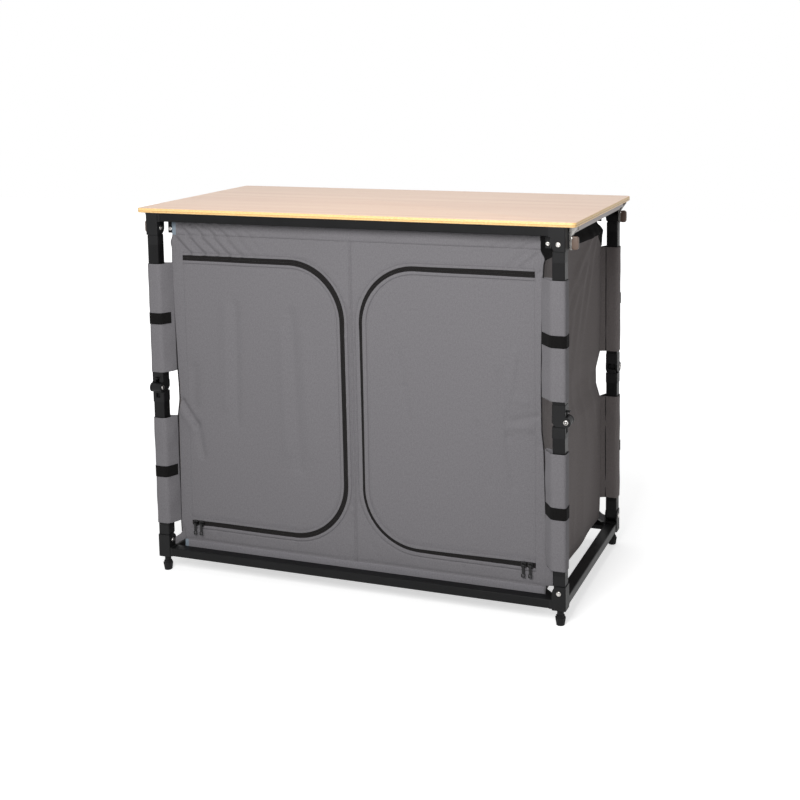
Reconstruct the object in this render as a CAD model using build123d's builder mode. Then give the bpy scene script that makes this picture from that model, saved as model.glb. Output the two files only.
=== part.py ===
"""Folding camping kitchen unit: a bamboo worktop on a folding square-tube frame, with a hung fabric cabinet.

Millimetres, +Z up. The origin is on the floor under the middle of the worktop, and the doors face -Y.
Each leg folds at a knee. The four knees fold in turn round the frame, one along each side of it.
"""

import os
from collections import namedtuple
from math import atan2, degrees, hypot

from build123d import *

os.makedirs("parts", exist_ok=True)

# Sides of the small round pieces, which are many
round_sides = 10

# Overall sizes
worktop_length = 960.0
worktop_depth = 480.0
worktop_thickness = 10.0
worktop_corner = 9.0
worktop_edge = 1.2
unit_height = 800.0

# Frame tubes
leg_size = 25.0
leg_wall = 1.5
leg_corner = 1.5
rail_width = 25.0
rail_height = 18.0
rail_wall = 1.5
rail_corner = 1.2
leg_inset_x = 35.0
leg_inset_y = 15.0
base_rail_bottom = 35.0
spigot_length = 24.0
spigot_fit = 0.15
fold_gap = 2.5

# Corner connectors
connector_wall = 2.75
connector_margin = 1.5
connector_foot = 2.0
socket_reach = 6.0
socket_lip = 1.0
connector_corner = 2.5
moulding_corner = 1.5
tongue_gap = 0.5
cavity_floor_gap = 0.2
pin_radius = 4.0
pin_fit = 0.1
rivet_radius = 5.0
rivet_crown_radius = 3.2
rivet_height = 2.0
rivet_gap = 0.05

# Leg fittings and knees
collar_gap = 1.0
collar_end = 35.0
knee_offset_gap = 2.0
knee_ear_radius = 10.0
knee_pin_radius = 3.0
knee_cheek = 3.75
knee_margin = 0.75
knee_collar_start = 11.0
knee_collar_end = 33.0
knee_cheek_cut = 8.0
tongue_top = 4.0
tongue_shoulder = 2.0
tongue_step = -2.6

# Knee latches
latch_width = 8.0
latch_gap = 0.5
latch_pivot_x = 3.0
latch_pivot_z = 17.0
latch_pivot_radius = 1.5
latch_hub_radius = 3.4
latch_arm = 2.4
latch_reach = 20.5
latch_rise = 3.0
latch_nose = 2.6
latch_nose_end = -1.5

# Levelling feet
foot_top_radius = 11.0
foot_sole_radius = 8.75
foot_height = 20.0
foot_shoulder = 4.0
foot_shoulder_radius = 9.0
foot_stem_radius = 7.0
foot_stem_gap = 0.3
foot_engaged = 16.0
foot_ribs = 10
foot_groove = 1.1

# Worktop battens and corner clips
batten_width = 12.0
batten_height = 16.0
batten_wall = 1.6
batten_corner = 0.8
batten_gap = 3.0
batten_end_gap = 45.0
clip_plate = 1.5
clip_gap = 0.5
clip_inset = 15.0
clip_width = 11.0
clip_drop = 27.0
clip_ear = 1.2
clip_ear_reach = 6.5
clip_ear_height = 12.0
clip_flange = 12.0
lever_thickness = 7.0
lever_reach = 15.0
lever_drop = 22.0
lever_hub_radius = 2.6
lever_pin_radius = 1.3
lever_pivot_out = 3.6
lever_pivot_drop = 23.0
lever_corner = 4.0

# Cabinet cloth, boards and hangers
cloth = 1.2
cloth_gap = 0.3
cabinet_end_gap = 0.5
cabinet_lift = 5.0
cabinet_drop = 8.0
cutaway = 10.0
upper_wrap_low = 40.0
upper_wrap_high = 69.5
lower_wrap_low = 45.5
lower_wrap_high = 64.0
wrap_gap = 0.3
wrap_corner = 2.2
strap_height = 24.0
strap_proud = 0.5
upper_strap = 157.0
lower_strap = 183.0
floor_lift = 16.0
floor_thickness = 6.0
shelf_lift = 340.0
shelf_thickness = 4.0
hanger_width = 10.0
hanger_thickness = 2.0
hanger_depth = 4.4
hanger_drop = 27.0
hanger_grip = 14.0
hanger_inset = 28.0
hanger_screw_radius = 4.0
hanger_screw_height = 1.5
hanger_screw_up = 9.0

# Doors and zips
door_inner = 20.5
door_outer_gap = 40.0
door_lift = 49.0
door_drop = 72.0
door_radius = 120.0
door_gap = 0.5
hinge_gap = 0.3
zip_half = 6.0
zip_proud = 0.8
slider_length = 11.0
slider_height = 12.0
slider_thickness = 3.2
slider_spacing = 14.5
slider_inset = 10.0
slider_bar_radius = 0.9
slider_bar_out = 2.4
slider_ear = 1.0
slider_corner = 2.0
puller_width = 5.0
puller_length = 25.0
puller_thickness = 1.5
puller_eye_radius = 2.0
puller_loop = 9.0
puller_loop_width = 8.0
puller_wire = 1.8
puller_corner = 2.2

# Places worked out from the sizes above
leg_x = worktop_length / 2 - leg_inset_x
leg_y = worktop_depth / 2 - leg_inset_y
leg_half = leg_size / 2
leg_inner = leg_size - 2 * (leg_wall + spigot_fit)
connector_half = leg_half + connector_margin
cheek_inner = connector_half - connector_wall
cheek_reach = connector_half
collar_start = cheek_reach + collar_gap
tongue_half = cheek_inner - tongue_gap
socket_end = connector_half + socket_reach
pin_to_rail = leg_half + fold_gap
worktop_bottom = unit_height - worktop_thickness
top_rail_bottom = worktop_bottom - rail_height
base_rail_top = base_rail_bottom + rail_height
base_pin_z = base_rail_top + pin_to_rail
top_pin_z = top_rail_bottom - pin_to_rail
knee_z = (base_pin_z + top_pin_z) / 2
knee_offset = leg_half + knee_offset_gap
knee_half = leg_half + knee_margin
knee_tongue_half = knee_half - knee_cheek - tongue_gap
wrap_half = leg_half + wrap_gap + cloth
cabinet_x = leg_x - wrap_half - strap_proud - cabinet_end_gap
cabinet_y = leg_y - rail_width / 2 - hanger_depth - cloth_gap
cabinet_bottom = base_rail_top + cabinet_lift
cabinet_top = top_rail_bottom - cabinet_drop
lower_wraps = (base_pin_z + lower_wrap_low, knee_z - lower_wrap_high)
upper_wraps = (knee_z + upper_wrap_low, top_pin_z - upper_wrap_high)
floor_bottom = cabinet_bottom + floor_lift
shelf_bottom = cabinet_bottom + shelf_lift
door_outer = cabinet_x - door_outer_gap
door_bottom = cabinet_bottom + door_lift
door_top = cabinet_top - door_drop
frame_half = max(connector_half, (rail_width + socket_lip) / 2)
clip_x = leg_x + frame_half + clip_gap
clip_y = leg_y - clip_inset
lever_x = clip_x + clip_plate + lever_pivot_out
lever_z = worktop_bottom - lever_pivot_drop
slider_back = cabinet_y + zip_proud + cloth_gap
slider_front = slider_back + slider_thickness

# Each leg has its axis, and the way its knee swings as the leg folds
Corner = namedtuple("Corner", "name x y fold")
corners = [
    Corner("fl", -leg_x, -leg_y, (0, 1, 0)),
    Corner("bl", -leg_x, leg_y, (1, 0, 0)),
    Corner("br", leg_x, leg_y, (0, -1, 0)),
    Corner("fr", leg_x, -leg_y, (-1, 0, 0)),
]
up = (0, 0, 1)


def level(corner, z):
    """The horizontal plane at height z on a leg's axis, its X along the fold."""
    return Plane(origin=(corner.x, corner.y, z), x_dir=corner.fold, z_dir=up)


def upright(corner, z):
    """The upright plane on a leg's axis, square to its hinge pins: X is along the fold and Y is up."""
    across = Vector(*corner.fold).cross(Vector(*up))
    return Plane(origin=(corner.x, corner.y, z), x_dir=corner.fold, z_dir=across)


def facing(sign, y):
    """The upright plane at depth y that faces the front (sign -1) or the back (sign 1), its Y up."""
    return Plane(origin=(0, y, 0), x_dir=(-sign, 0, 0), z_dir=(0, sign, 0))


def write(part, name):
    """Labels a finished piece and writes it as its own file."""
    part.label = name
    export_step(part, f"parts/{name}.step")


def group(solids):
    """Several separate solids as one piece."""
    return Compound(children=[solid for piece in solids for solid in piece.solids()])


def disc(radius):
    """A small round outline in a few straight sides, for a sketch."""
    return RegularPolygon(radius, round_sides)


def bore(radius, mode=Mode.SUBTRACT):
    """A round hole in as many sides, which lie outside its circle, so that a disc can turn in it."""
    return RegularPolygon(radius, round_sides, major_radius=False, mode=mode)


def eased(width, height, corner):
    """A rectangle with its corners cut off, for a sketch of a tube, a moulding or a sleeve."""
    return chamfer(Rectangle(width, height).vertices(), corner)


def box_tube(plane, width, height, wall, corner, length):
    """A straight rectangular tube that starts on a plane."""
    with BuildPart() as tube:
        with BuildSketch(plane):
            eased(width, height, corner)
            Rectangle(width - 2 * wall, height - 2 * wall, mode=Mode.SUBTRACT)
        extrude(amount=length)
    return tube.part


def rivet(plane, radius, half_length):
    """A pin through a plane, with a raised head at each end."""
    seat = half_length + rivet_gap
    with BuildPart() as pin:
        with BuildSketch(plane):
            disc(radius)
        extrude(amount=seat)
        with BuildSketch(plane.offset(seat)):
            disc(rivet_radius)
        with BuildSketch(plane.offset(seat + rivet_height)):
            disc(rivet_crown_radius)
        loft(ruled=True)
        mirror(about=plane)
    return pin.part


def rails(bottom):
    """Four rails of one rectangle, each between the sockets of two connectors."""
    centre = bottom + rail_height / 2
    half_x = leg_x - socket_end
    half_y = leg_y - socket_end
    tubes = []
    for sign in (-1, 1):
        long_start = Plane(origin=(-half_x, sign * leg_y, centre), x_dir=(0, 1, 0), z_dir=(1, 0, 0))
        end_start = Plane(origin=(sign * leg_x, -half_y, centre), x_dir=(-1, 0, 0), z_dir=(0, 1, 0))
        for start, length in ((long_start, 2 * half_x), (end_start, 2 * half_y)):
            tubes.append(box_tube(start, rail_width, rail_height, rail_wall, rail_corner, length))
    return group(tubes)


def connector(corner, pin_z, rail_bottom, opening):
    """A moulded corner: a block with a socket and spigot for each rail, and a fork for the leg's pin.

    opening is 1 where the fork opens upwards, at the base, and -1 where it opens down, under the worktop.
    """
    rail_centre = rail_bottom + rail_height / 2
    foot_drop = connector_foot if opening > 0 else 0
    far_side = rail_centre - opening * (rail_height / 2 + foot_drop)
    fork = upright(corner, pin_z)
    spigot_width = rail_width - 2 * (rail_wall + spigot_fit)
    spigot_height = rail_height - 2 * (rail_wall + spigot_fit)
    cavity_floor = cheek_inner + cavity_floor_gap
    with BuildPart() as body:
        with BuildSketch(level(corner, far_side)):
            Rectangle(2 * connector_half, 2 * connector_half)
        extrude(amount=opening * (rail_height + socket_lip + foot_drop))
        # one socket along the fold and one square to it, towards the middle of the unit
        for along in (Vector(*corner.fold), Vector(*corner.fold).cross(Vector(*up))):
            socket = Plane(
                origin=(corner.x, corner.y, rail_centre + opening * socket_lip / 2),
                x_dir=along.cross(Vector(*up)),
                z_dir=along,
            )
            with BuildSketch(socket):
                Rectangle(rail_width + socket_lip, rail_height + socket_lip)
            extrude(amount=socket_end)
            spigot = Plane(
                origin=Vector(corner.x, corner.y, rail_centre) + along * connector_half,
                x_dir=socket.x_dir,
                z_dir=along,
            )
            with BuildSketch(spigot):
                Rectangle(spigot_width, spigot_height)
            extrude(amount=socket_reach + spigot_length)
        # the fork is square outside, and round where the leg sweeps past it
        with BuildSketch(fork):
            RegularPolygon(cheek_reach, 2 * round_sides)
            with Locations((-connector_half / 2, 0)):
                Rectangle(connector_half, 2 * cheek_reach)
            with Locations((0, -opening * pin_to_rail / 2)):
                Rectangle(2 * connector_half, pin_to_rail)
        extrude(amount=connector_half, both=True)
        # room between the cheeks for the leg's tongue, open to the fold and to the leg
        with BuildSketch(fork):
            with Locations((connector_wall, opening * (pin_to_rail - cavity_floor) / 2)):
                Rectangle(2 * connector_half, pin_to_rail + cavity_floor)
        extrude(amount=cheek_inner, both=True, mode=Mode.SUBTRACT)
        with BuildSketch(fork):
            bore(pin_radius + pin_fit, mode=Mode.ADD)
        extrude(amount=2 * connector_half, both=True, mode=Mode.SUBTRACT)
        if opening > 0:
            # the levelling foot's hole
            with BuildSketch(level(corner, far_side)):
                bore(foot_stem_radius + foot_stem_gap, mode=Mode.ADD)
            extrude(amount=foot_engaged + 1, mode=Mode.SUBTRACT)
        outermost = body.edges().filter_by(Axis.Z).sort_by_distance((2 * corner.x, 2 * corner.y, pin_z))[0]
        fillet(outermost, connector_corner)
    return body.part


def end_fitting(corner, pin_z, away):
    """The moulded leg end: a round tongue on the pin, a collar, and a spigot in the tube.

    away is 1 where the leg stands above the pin, and -1 where it hangs below it.
    """
    hinge = upright(corner, pin_z)
    with BuildPart() as fitting:
        with BuildSketch(hinge):
            Circle(tongue_half)
            with Locations((0, away * (collar_start + 1) / 2)):
                Rectangle(2 * tongue_half, collar_start + 1)
            bore(pin_radius + pin_fit)
        extrude(amount=tongue_half, both=True)
        with BuildSketch(level(corner, pin_z + away * collar_start)):
            eased(leg_size, leg_size, moulding_corner)
        extrude(amount=away * (collar_end - collar_start))
        with BuildSketch(level(corner, pin_z + away * collar_end)):
            Rectangle(leg_inner, leg_inner)
        extrude(amount=away * spigot_length)
    return fitting.part


def knee_collar(corner, away):
    """The square collar of a knee fitting and its spigot, above the knee (away 1) or below it (-1)."""
    with BuildPart() as collar:
        with BuildSketch(level(corner, knee_z + away * knee_collar_start)):
            eased(2 * knee_half, 2 * knee_half, moulding_corner)
        extrude(amount=away * (knee_collar_end - knee_collar_start))
        with BuildSketch(level(corner, knee_z + away * knee_collar_end)):
            Rectangle(leg_inner, leg_inner)
        extrude(amount=away * spigot_length)
    return collar.part


def upper_knee(corner):
    """The knee's upper half: two cheeks with ears round the pin, and the slot and pivot of the latch."""
    hinge = upright(corner, knee_z)
    cheek_top = knee_collar_start + 1
    slot_half = latch_width / 2 + latch_gap
    slot_right = latch_pivot_x + latch_hub_radius + 1
    slot_top = latch_pivot_z + latch_hub_radius + 1
    with BuildPart() as fitting:
        add(knee_collar(corner, 1))
        with BuildSketch(hinge):
            with BuildLine():
                Polyline(
                    (-knee_half, cheek_top),
                    (-knee_half, -knee_ear_radius),
                    (knee_half - knee_cheek_cut, -knee_ear_radius),
                    (knee_half, knee_cheek_cut - knee_ear_radius),
                    (knee_half, cheek_top),
                    close=True,
                )
            make_face()
            with Locations((-knee_offset, 0)):
                RegularPolygon(knee_ear_radius, 2 * round_sides)
        extrude(amount=knee_half, both=True)
        # room between the cheeks for the lower half's tongue
        with BuildSketch(hinge):
            with Locations((0, (knee_collar_start - 2 * knee_ear_radius) / 2)):
                Rectangle(6 * knee_ear_radius, knee_collar_start + 2 * knee_ear_radius)
        extrude(amount=knee_half - knee_cheek, both=True, mode=Mode.SUBTRACT)
        with BuildSketch(hinge):
            with Locations((-knee_offset, 0)):
                bore(knee_pin_radius + pin_fit, mode=Mode.ADD)
        extrude(amount=2 * knee_half, both=True, mode=Mode.SUBTRACT)
        # the latch's slot, out through the outer face and down to the tongue
        with BuildSketch(hinge):
            with Locations(((slot_right - 2 * knee_half) / 2, (slot_top + knee_collar_start - 1) / 2)):
                Rectangle(2 * knee_half + slot_right, slot_top - knee_collar_start + 1)
        extrude(amount=slot_half, both=True, mode=Mode.SUBTRACT)
        with BuildSketch(hinge):
            with Locations((latch_pivot_x, latch_pivot_z)):
                disc(latch_pivot_radius)
        extrude(amount=slot_half + 1, both=True)
    return fitting.part


def lower_knee(corner):
    """The knee's lower half: one tongue between the cheeks, stepped where the latch's nose bears on its end."""
    hinge = upright(corner, knee_z)
    notch_high = latch_arm + 1 - latch_pivot_z
    notch_low = -latch_pivot_z - latch_rise - latch_arm - 1
    notch_depth = latch_reach - 2 * knee_offset + knee_half + 1
    with BuildPart() as fitting:
        add(knee_collar(corner, -1))
        with BuildSketch(hinge):
            with BuildLine():
                Polyline(
                    (-knee_offset, -knee_collar_start - 1),
                    (knee_half - tongue_shoulder, -knee_collar_start - 1),
                    (knee_half - tongue_shoulder, tongue_step),
                    (0, tongue_step),
                    (0, tongue_top),
                    (-knee_offset, tongue_top + tongue_shoulder),
                    close=True,
                )
            make_face()
            with Locations((-knee_offset, 0)):
                Circle(knee_ear_radius - tongue_gap)
        extrude(amount=knee_tongue_half, both=True)
        with BuildSketch(hinge):
            with Locations((-knee_offset, 0)):
                bore(knee_pin_radius + pin_fit, mode=Mode.ADD)
        extrude(amount=2 * knee_half, both=True, mode=Mode.SUBTRACT)
        # a notch that the latch's thumb piece rests in when the leg is folded
        with BuildSketch(hinge):
            with Locations((-knee_half, (notch_high + notch_low) / 2)):
                Rectangle(2 * notch_depth, notch_high - notch_low)
        extrude(amount=latch_width / 2 + 1, both=True, mode=Mode.SUBTRACT)
    return fitting.part


def knee_pin(corner):
    """The rivet that joins the knee's two halves, outside the tube."""
    outward = -knee_offset * Vector(*corner.fold)
    hinge = upright(corner, knee_z)
    return rivet(Plane(hinge.origin + outward, hinge.x_dir, hinge.z_dir), knee_pin_radius, knee_half)


def knee_latch(corner):
    """A rocking catch: a thumb piece outside the knee, and a nose that stands against the end of the tongue."""
    hinge = upright(corner, knee_z)
    tip_z = latch_pivot_z + latch_rise
    # the tongue's end swings past the nose on this reach from the knee's pin
    nose_left = hypot(knee_offset, tongue_top) - knee_offset + latch_gap
    with BuildPart() as latch:
        with BuildSketch(hinge):
            with Locations((latch_pivot_x, latch_pivot_z)):
                Circle(latch_hub_radius)
            with BuildLine():
                Polyline(
                    (latch_pivot_x, latch_pivot_z - latch_arm / 2),
                    (latch_pivot_x, latch_pivot_z + latch_arm / 2),
                    (-latch_reach, tip_z + latch_arm / 2),
                    (-latch_reach, tip_z - latch_arm / 2),
                    close=True,
                )
            make_face()
            with BuildLine():
                Polyline(
                    (nose_left, latch_pivot_z),
                    (nose_left, latch_nose_end),
                    (nose_left + latch_nose, latch_nose_end),
                    (nose_left + latch_nose, latch_pivot_z),
                    close=True,
                )
            make_face()
            with Locations((latch_pivot_x, latch_pivot_z)):
                bore(latch_pivot_radius + pin_fit)
        extrude(amount=latch_width / 2, both=True)
    return latch.part


def wrap(corner, heights, z_strap):
    """The cloth sleeve round half a leg, between two heights, with its fastening strap."""
    low, high = heights
    inner = 2 * (wrap_half - cloth)
    outer = 2 * wrap_half
    band = outer + 2 * strap_proud
    with BuildPart() as sleeve:
        with BuildSketch(level(corner, low)):
            eased(outer, outer, wrap_corner)
        extrude(amount=high - low)
        with BuildSketch(level(corner, z_strap - strap_height / 2)):
            eased(band, band, wrap_corner)
        extrude(amount=strap_height)
        with BuildSketch(level(corner, low)):
            Rectangle(inner, inner)
        extrude(amount=high - low, mode=Mode.SUBTRACT)
    return sleeve.part


def foot(corner):
    """A levelling foot: a ribbed, tapered knob on a stem that screws into the base connector."""
    rim_z = foot_height - foot_shoulder
    rim = level(corner, rim_z)
    stem_top = base_rail_bottom - connector_foot + foot_engaged
    taper = degrees(atan2(foot_top_radius - foot_sole_radius, rim_z))
    turn = 360 / foot_ribs
    outline = []
    for i in range(foot_ribs):
        outline.append(Vector(foot_top_radius, 0).rotate(Axis.Z, i * turn))
        outline.append(Vector(foot_top_radius - foot_groove, 0).rotate(Axis.Z, (i + 0.5) * turn))
    with BuildPart() as knob:
        with BuildSketch(rim):
            with BuildLine():
                Polyline(*outline, close=True)
            make_face()
        extrude(amount=-rim_z)
        draft(knob.faces().filter_by(Axis.Z, reverse=True), neutral_plane=rim, angle=-taper)
        with BuildSketch(rim):
            disc(foot_shoulder_radius)
        extrude(amount=foot_shoulder)
        with BuildSketch(level(corner, foot_height)):
            disc(foot_stem_radius)
        extrude(amount=stem_top - foot_height)
    return knob.part


def worktop():
    """The bamboo board, its corners rounded and its long edges eased."""
    with BuildPart() as board:
        with BuildSketch(Plane.XY.offset(worktop_bottom)):
            RectangleRounded(worktop_length, worktop_depth, worktop_corner)
        extrude(amount=worktop_thickness)
        chamfer(board.faces().filter_by(Axis.Z).edges(), worktop_edge)
    return board.part


def battens():
    """An aluminium batten under each end of the worktop, outside the frame, that keeps it centred."""
    length = worktop_depth - 2 * batten_end_gap
    centre_x = leg_x + frame_half + batten_gap + batten_width / 2
    centre_z = worktop_bottom - batten_height / 2
    tubes = []
    for sign in (-1, 1):
        start = Plane(origin=(sign * centre_x, -length / 2, centre_z), x_dir=(1, 0, 0), z_dir=(0, 1, 0))
        tubes.append(box_tube(start, batten_width, batten_height, batten_wall, batten_corner, length))
    return group(tubes)


def clip_bracket(sign_x, sign_y):
    """A bent steel strap under the worktop, with two ears and a pin for the clip's lever."""
    y = sign_y * clip_y
    profile = Plane(origin=(0, y, 0), x_dir=(sign_x, 0, 0), z_dir=(0, -sign_x, 0))
    ear_bottom = worktop_bottom - clip_drop
    with BuildPart() as bracket:
        with BuildSketch(profile):
            with Locations((clip_x + clip_plate / 2, worktop_bottom - clip_drop / 2)):
                Rectangle(clip_plate, clip_drop)
            with Locations((clip_x + clip_flange / 2, worktop_bottom - clip_plate / 2)):
                Rectangle(clip_flange, clip_plate)
        extrude(amount=clip_width / 2, both=True)
        for ear_sign in (-1, 1):
            ear_y = ear_sign * (clip_width - clip_ear) / 2
            with BuildSketch(profile.offset(ear_y)):
                with Locations((clip_x + clip_plate + clip_ear_reach / 2 - 0.5, ear_bottom + clip_ear_height / 2)):
                    Rectangle(clip_ear_reach + 1, clip_ear_height)
            extrude(amount=clip_ear / 2, both=True)
        with BuildSketch(profile):
            with Locations((lever_x, lever_z)):
                disc(lever_pin_radius)
        extrude(amount=clip_width / 2, both=True)
    return bracket.part


def clip_lever(sign_x, sign_y):
    """A clip's moulded lever, which hangs locked and swings outwards to free the worktop."""
    profile = Plane(origin=(0, sign_y * clip_y, 0), x_dir=(sign_x, 0, 0), z_dir=(0, -sign_x, 0))
    blade_width = lever_reach + lever_hub_radius
    blade_height = lever_drop + lever_hub_radius
    centre = (lever_x + (lever_reach - lever_hub_radius) / 2, lever_z - (lever_drop - lever_hub_radius) / 2)
    with BuildPart() as lever:
        with BuildSketch(profile) as blade:
            with Locations(centre):
                Rectangle(blade_width, blade_height)
            chamfer(blade.vertices().group_by(Axis.Y)[0], lever_corner)
            fillet(blade.vertices().group_by(Axis.Y)[-1], lever_hub_radius - pin_fit)
            with Locations((lever_x, lever_z)):
                bore(lever_pin_radius + pin_fit)
        extrude(amount=lever_thickness / 2, both=True)
    return lever.part


def hanger(sign_x, sign_y):
    """A moulded hook on a top rail's inner face that carries a corner of the cabinet by a screw."""
    x = sign_x * (leg_x - hanger_inset)
    rail_face = leg_y - rail_width / 2
    plate_back = cabinet_y + cloth_gap
    plate_top = top_rail_bottom + hanger_grip
    plate_bottom = top_rail_bottom - hanger_drop
    outward = facing(sign_y, sign_y * plate_back)
    place_x = -sign_y * x
    with BuildPart() as hook:
        with BuildSketch(outward):
            with Locations((place_x, (plate_top + plate_bottom) / 2)):
                Rectangle(hanger_width, plate_top - plate_bottom)
        extrude(amount=hanger_thickness)
        with BuildSketch(outward):
            with Locations((place_x, top_rail_bottom + hanger_grip / 2 + 1)):
                Rectangle(hanger_width, hanger_grip - 2)
        extrude(amount=rail_face - plate_back)
        with BuildSketch(outward.offset(hanger_thickness)):
            with Locations((place_x, plate_bottom + hanger_screw_up)):
                disc(hanger_screw_radius)
        extrude(amount=hanger_screw_height)
    return hook.part


def door_outline(sign, inset, outer):
    """A D of the door's shape on the front plane, moved in by inset all round but at its hinge."""
    width = outer - door_inner - inset
    height = door_top - door_bottom - 2 * inset
    with BuildSketch(facing(-1, -cabinet_y)) as outline:
        with Locations((sign * (outer - width / 2), (door_top + door_bottom) / 2)):
            Rectangle(width, height)
        inner_corners = outline.vertices().sort_by(Axis.X)[-2:] if sign < 0 else outline.vertices().sort_by(Axis.X)[:2]
        fillet(inner_corners, door_radius - inset)
    return outline.sketch


def cabinet_walls():
    """The cabinet's two ends and back in one length of cloth, cut away at the back corners between the sleeves."""
    front = -cabinet_y + cloth + cloth_gap
    height = cabinet_top - cabinet_bottom
    depth = cabinet_y - front
    with BuildPart() as walls:
        with BuildSketch(Plane.XY.offset(cabinet_bottom)):
            with Locations((0, front + depth / 2)):
                Rectangle(2 * cabinet_x, depth)
            with Locations((0, front + depth / 2 - cloth)):
                Rectangle(2 * (cabinet_x - cloth), depth, mode=Mode.SUBTRACT)
        extrude(amount=height)
        for low, high in cutaways():
            with BuildSketch(Plane.XY.offset(low)):
                with Locations((-cabinet_x, cabinet_y), (cabinet_x, cabinet_y)):
                    Rectangle(2 * cutaway, 2 * cutaway)
            extrude(amount=high - low, mode=Mode.SUBTRACT)
    return walls.part


def cutaways():
    """The heights between the leg sleeves, where the cabinet's corners are cut away."""
    return [
        (cabinet_bottom, lower_wraps[0]),
        (lower_wraps[1], upper_wraps[0]),
        (upper_wraps[1], cabinet_top),
    ]


def front_surround():
    """The cabinet's front cloth round the two doors, with the outer half of each zip's tape."""
    height = cabinet_top - cabinet_bottom
    with BuildPart() as surround:
        with BuildSketch(facing(-1, -cabinet_y)):
            with Locations((0, cabinet_bottom + height / 2)):
                Rectangle(2 * cabinet_x, height)
            for low, high in cutaways():
                with Locations((-cabinet_x, (low + high) / 2), (cabinet_x, (low + high) / 2)):
                    Rectangle(2 * cutaway, high - low, mode=Mode.SUBTRACT)
        extrude(amount=-cloth)
        for sign in (-1, 1):
            with BuildSketch(facing(-1, -cabinet_y)):
                add(door_outline(sign, -zip_half, door_outer))
                add(door_outline(sign, 0, door_outer + hinge_gap), mode=Mode.SUBTRACT)
            extrude(amount=zip_proud)
            extrude(door_outline(sign, 0, door_outer + hinge_gap), amount=-2 * cloth, mode=Mode.SUBTRACT)
    return surround.part


def door(sign):
    """A D-shaped cloth door, sewn down its outer edge, with the inner half of the zip's tape round the rest."""
    with BuildPart() as flap:
        extrude(door_outline(sign, door_gap, door_outer), amount=-cloth)
        with BuildSketch(facing(-1, -cabinet_y)):
            add(door_outline(sign, door_gap, door_outer))
            add(door_outline(sign, door_gap + zip_half, door_outer + 1), mode=Mode.SUBTRACT)
        extrude(amount=zip_proud)
    return flap.part


def floor_board():
    """The stiff board in the cabinet's floor."""
    front = -cabinet_y + cloth + cloth_gap
    back = cabinet_y - cloth - cloth_gap
    with BuildPart() as board:
        with BuildSketch(Plane.XY.offset(floor_bottom)):
            with Locations((0, (front + back) / 2)):
                Rectangle(2 * (cabinet_x - cloth - cloth_gap), back - front)
        extrude(amount=floor_thickness)
    return board.part


def inner_shelves():
    """The cloth divider between the two compartments, and a shelf panel in each."""
    front = -cabinet_y + cloth + cloth_gap
    back = cabinet_y - cloth - cloth_gap
    divider_bottom = floor_bottom + floor_thickness + cloth_gap
    shelf_inner = cloth / 2 + cloth_gap
    shelf_outer = cabinet_x - cloth - cloth_gap
    with BuildPart() as shelves:
        with BuildSketch(Plane.XY.offset(divider_bottom)):
            with Locations((0, (front + back) / 2)):
                Rectangle(cloth, back - front)
        extrude(amount=cabinet_top - divider_bottom)
        with BuildSketch(Plane.XY.offset(shelf_bottom)):
            for sign in (-1, 1):
                with Locations((sign * (shelf_inner + shelf_outer) / 2, (front + back) / 2)):
                    Rectangle(shelf_outer - shelf_inner, back - front)
        extrude(amount=shelf_thickness)
    return shelves.part


def slider(sign, place):
    """A zip slider across the tape, with two ears and a bar for its puller. place is its distance from the middle."""
    back = facing(-1, -slider_back)
    ear_x = (puller_width + slider_ear) / 2 + 0.4
    with BuildPart() as body:
        with BuildSketch(back):
            with Locations((sign * place, door_bottom)):
                eased(slider_length, slider_height, slider_corner)
        extrude(amount=slider_thickness)
        with BuildSketch(back.offset(slider_thickness)):
            with Locations((sign * place - ear_x, door_bottom), (sign * place + ear_x, door_bottom)):
                Rectangle(slider_ear, 2 * puller_eye_radius)
        extrude(amount=slider_bar_out + slider_bar_radius)
        bar_start = (sign * place - ear_x, -slider_front - slider_bar_out, door_bottom)
        with BuildSketch(Plane(origin=bar_start, x_dir=(0, 1, 0), z_dir=(1, 0, 0))):
            disc(slider_bar_radius)
        extrude(amount=2 * ear_x)
    return body.part


def puller(sign, place):
    """The pull that hangs from a slider's bar: an eye, and a flat tongue with a loop at its end."""
    bar_y = -slider_front - slider_bar_out
    tongue_z = door_bottom - puller_length / 2
    with BuildPart() as pull:
        with BuildSketch(facing(-1, bar_y)):
            with Locations((sign * place, tongue_z)):
                Rectangle(puller_width, puller_length)
            with Locations((sign * place, door_bottom - puller_length + puller_loop / 2)):
                eased(puller_loop_width, puller_loop, puller_corner)
                Rectangle(puller_loop_width - 2 * puller_wire, puller_loop - 2 * puller_wire, mode=Mode.SUBTRACT)
        extrude(amount=puller_thickness / 2, both=True)
        eye_start = Plane(origin=(sign * place, bar_y, door_bottom), x_dir=(0, 1, 0), z_dir=(1, 0, 0))
        with BuildSketch(eye_start):
            Circle(puller_eye_radius)
        extrude(amount=puller_width / 2, both=True)
        with BuildSketch(eye_start):
            bore(slider_bar_radius + pin_fit, mode=Mode.ADD)
        extrude(amount=puller_width, both=True, mode=Mode.SUBTRACT)
    return pull.part


# The rigid frame: rails, moulded corners and the rivets that the legs turn on
write(rails(base_rail_bottom), "base_rails")
write(rails(top_rail_bottom), "top_rails")
write(group(connector(c, base_pin_z, base_rail_bottom, 1) for c in corners), "base_corners")
write(group(connector(c, top_pin_z, top_rail_bottom, -1) for c in corners), "top_corners")
write(group(rivet(upright(c, base_pin_z), pin_radius, connector_half) for c in corners), "base_pins")
write(group(rivet(upright(c, top_pin_z), pin_radius, connector_half) for c in corners), "top_pins")

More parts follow.
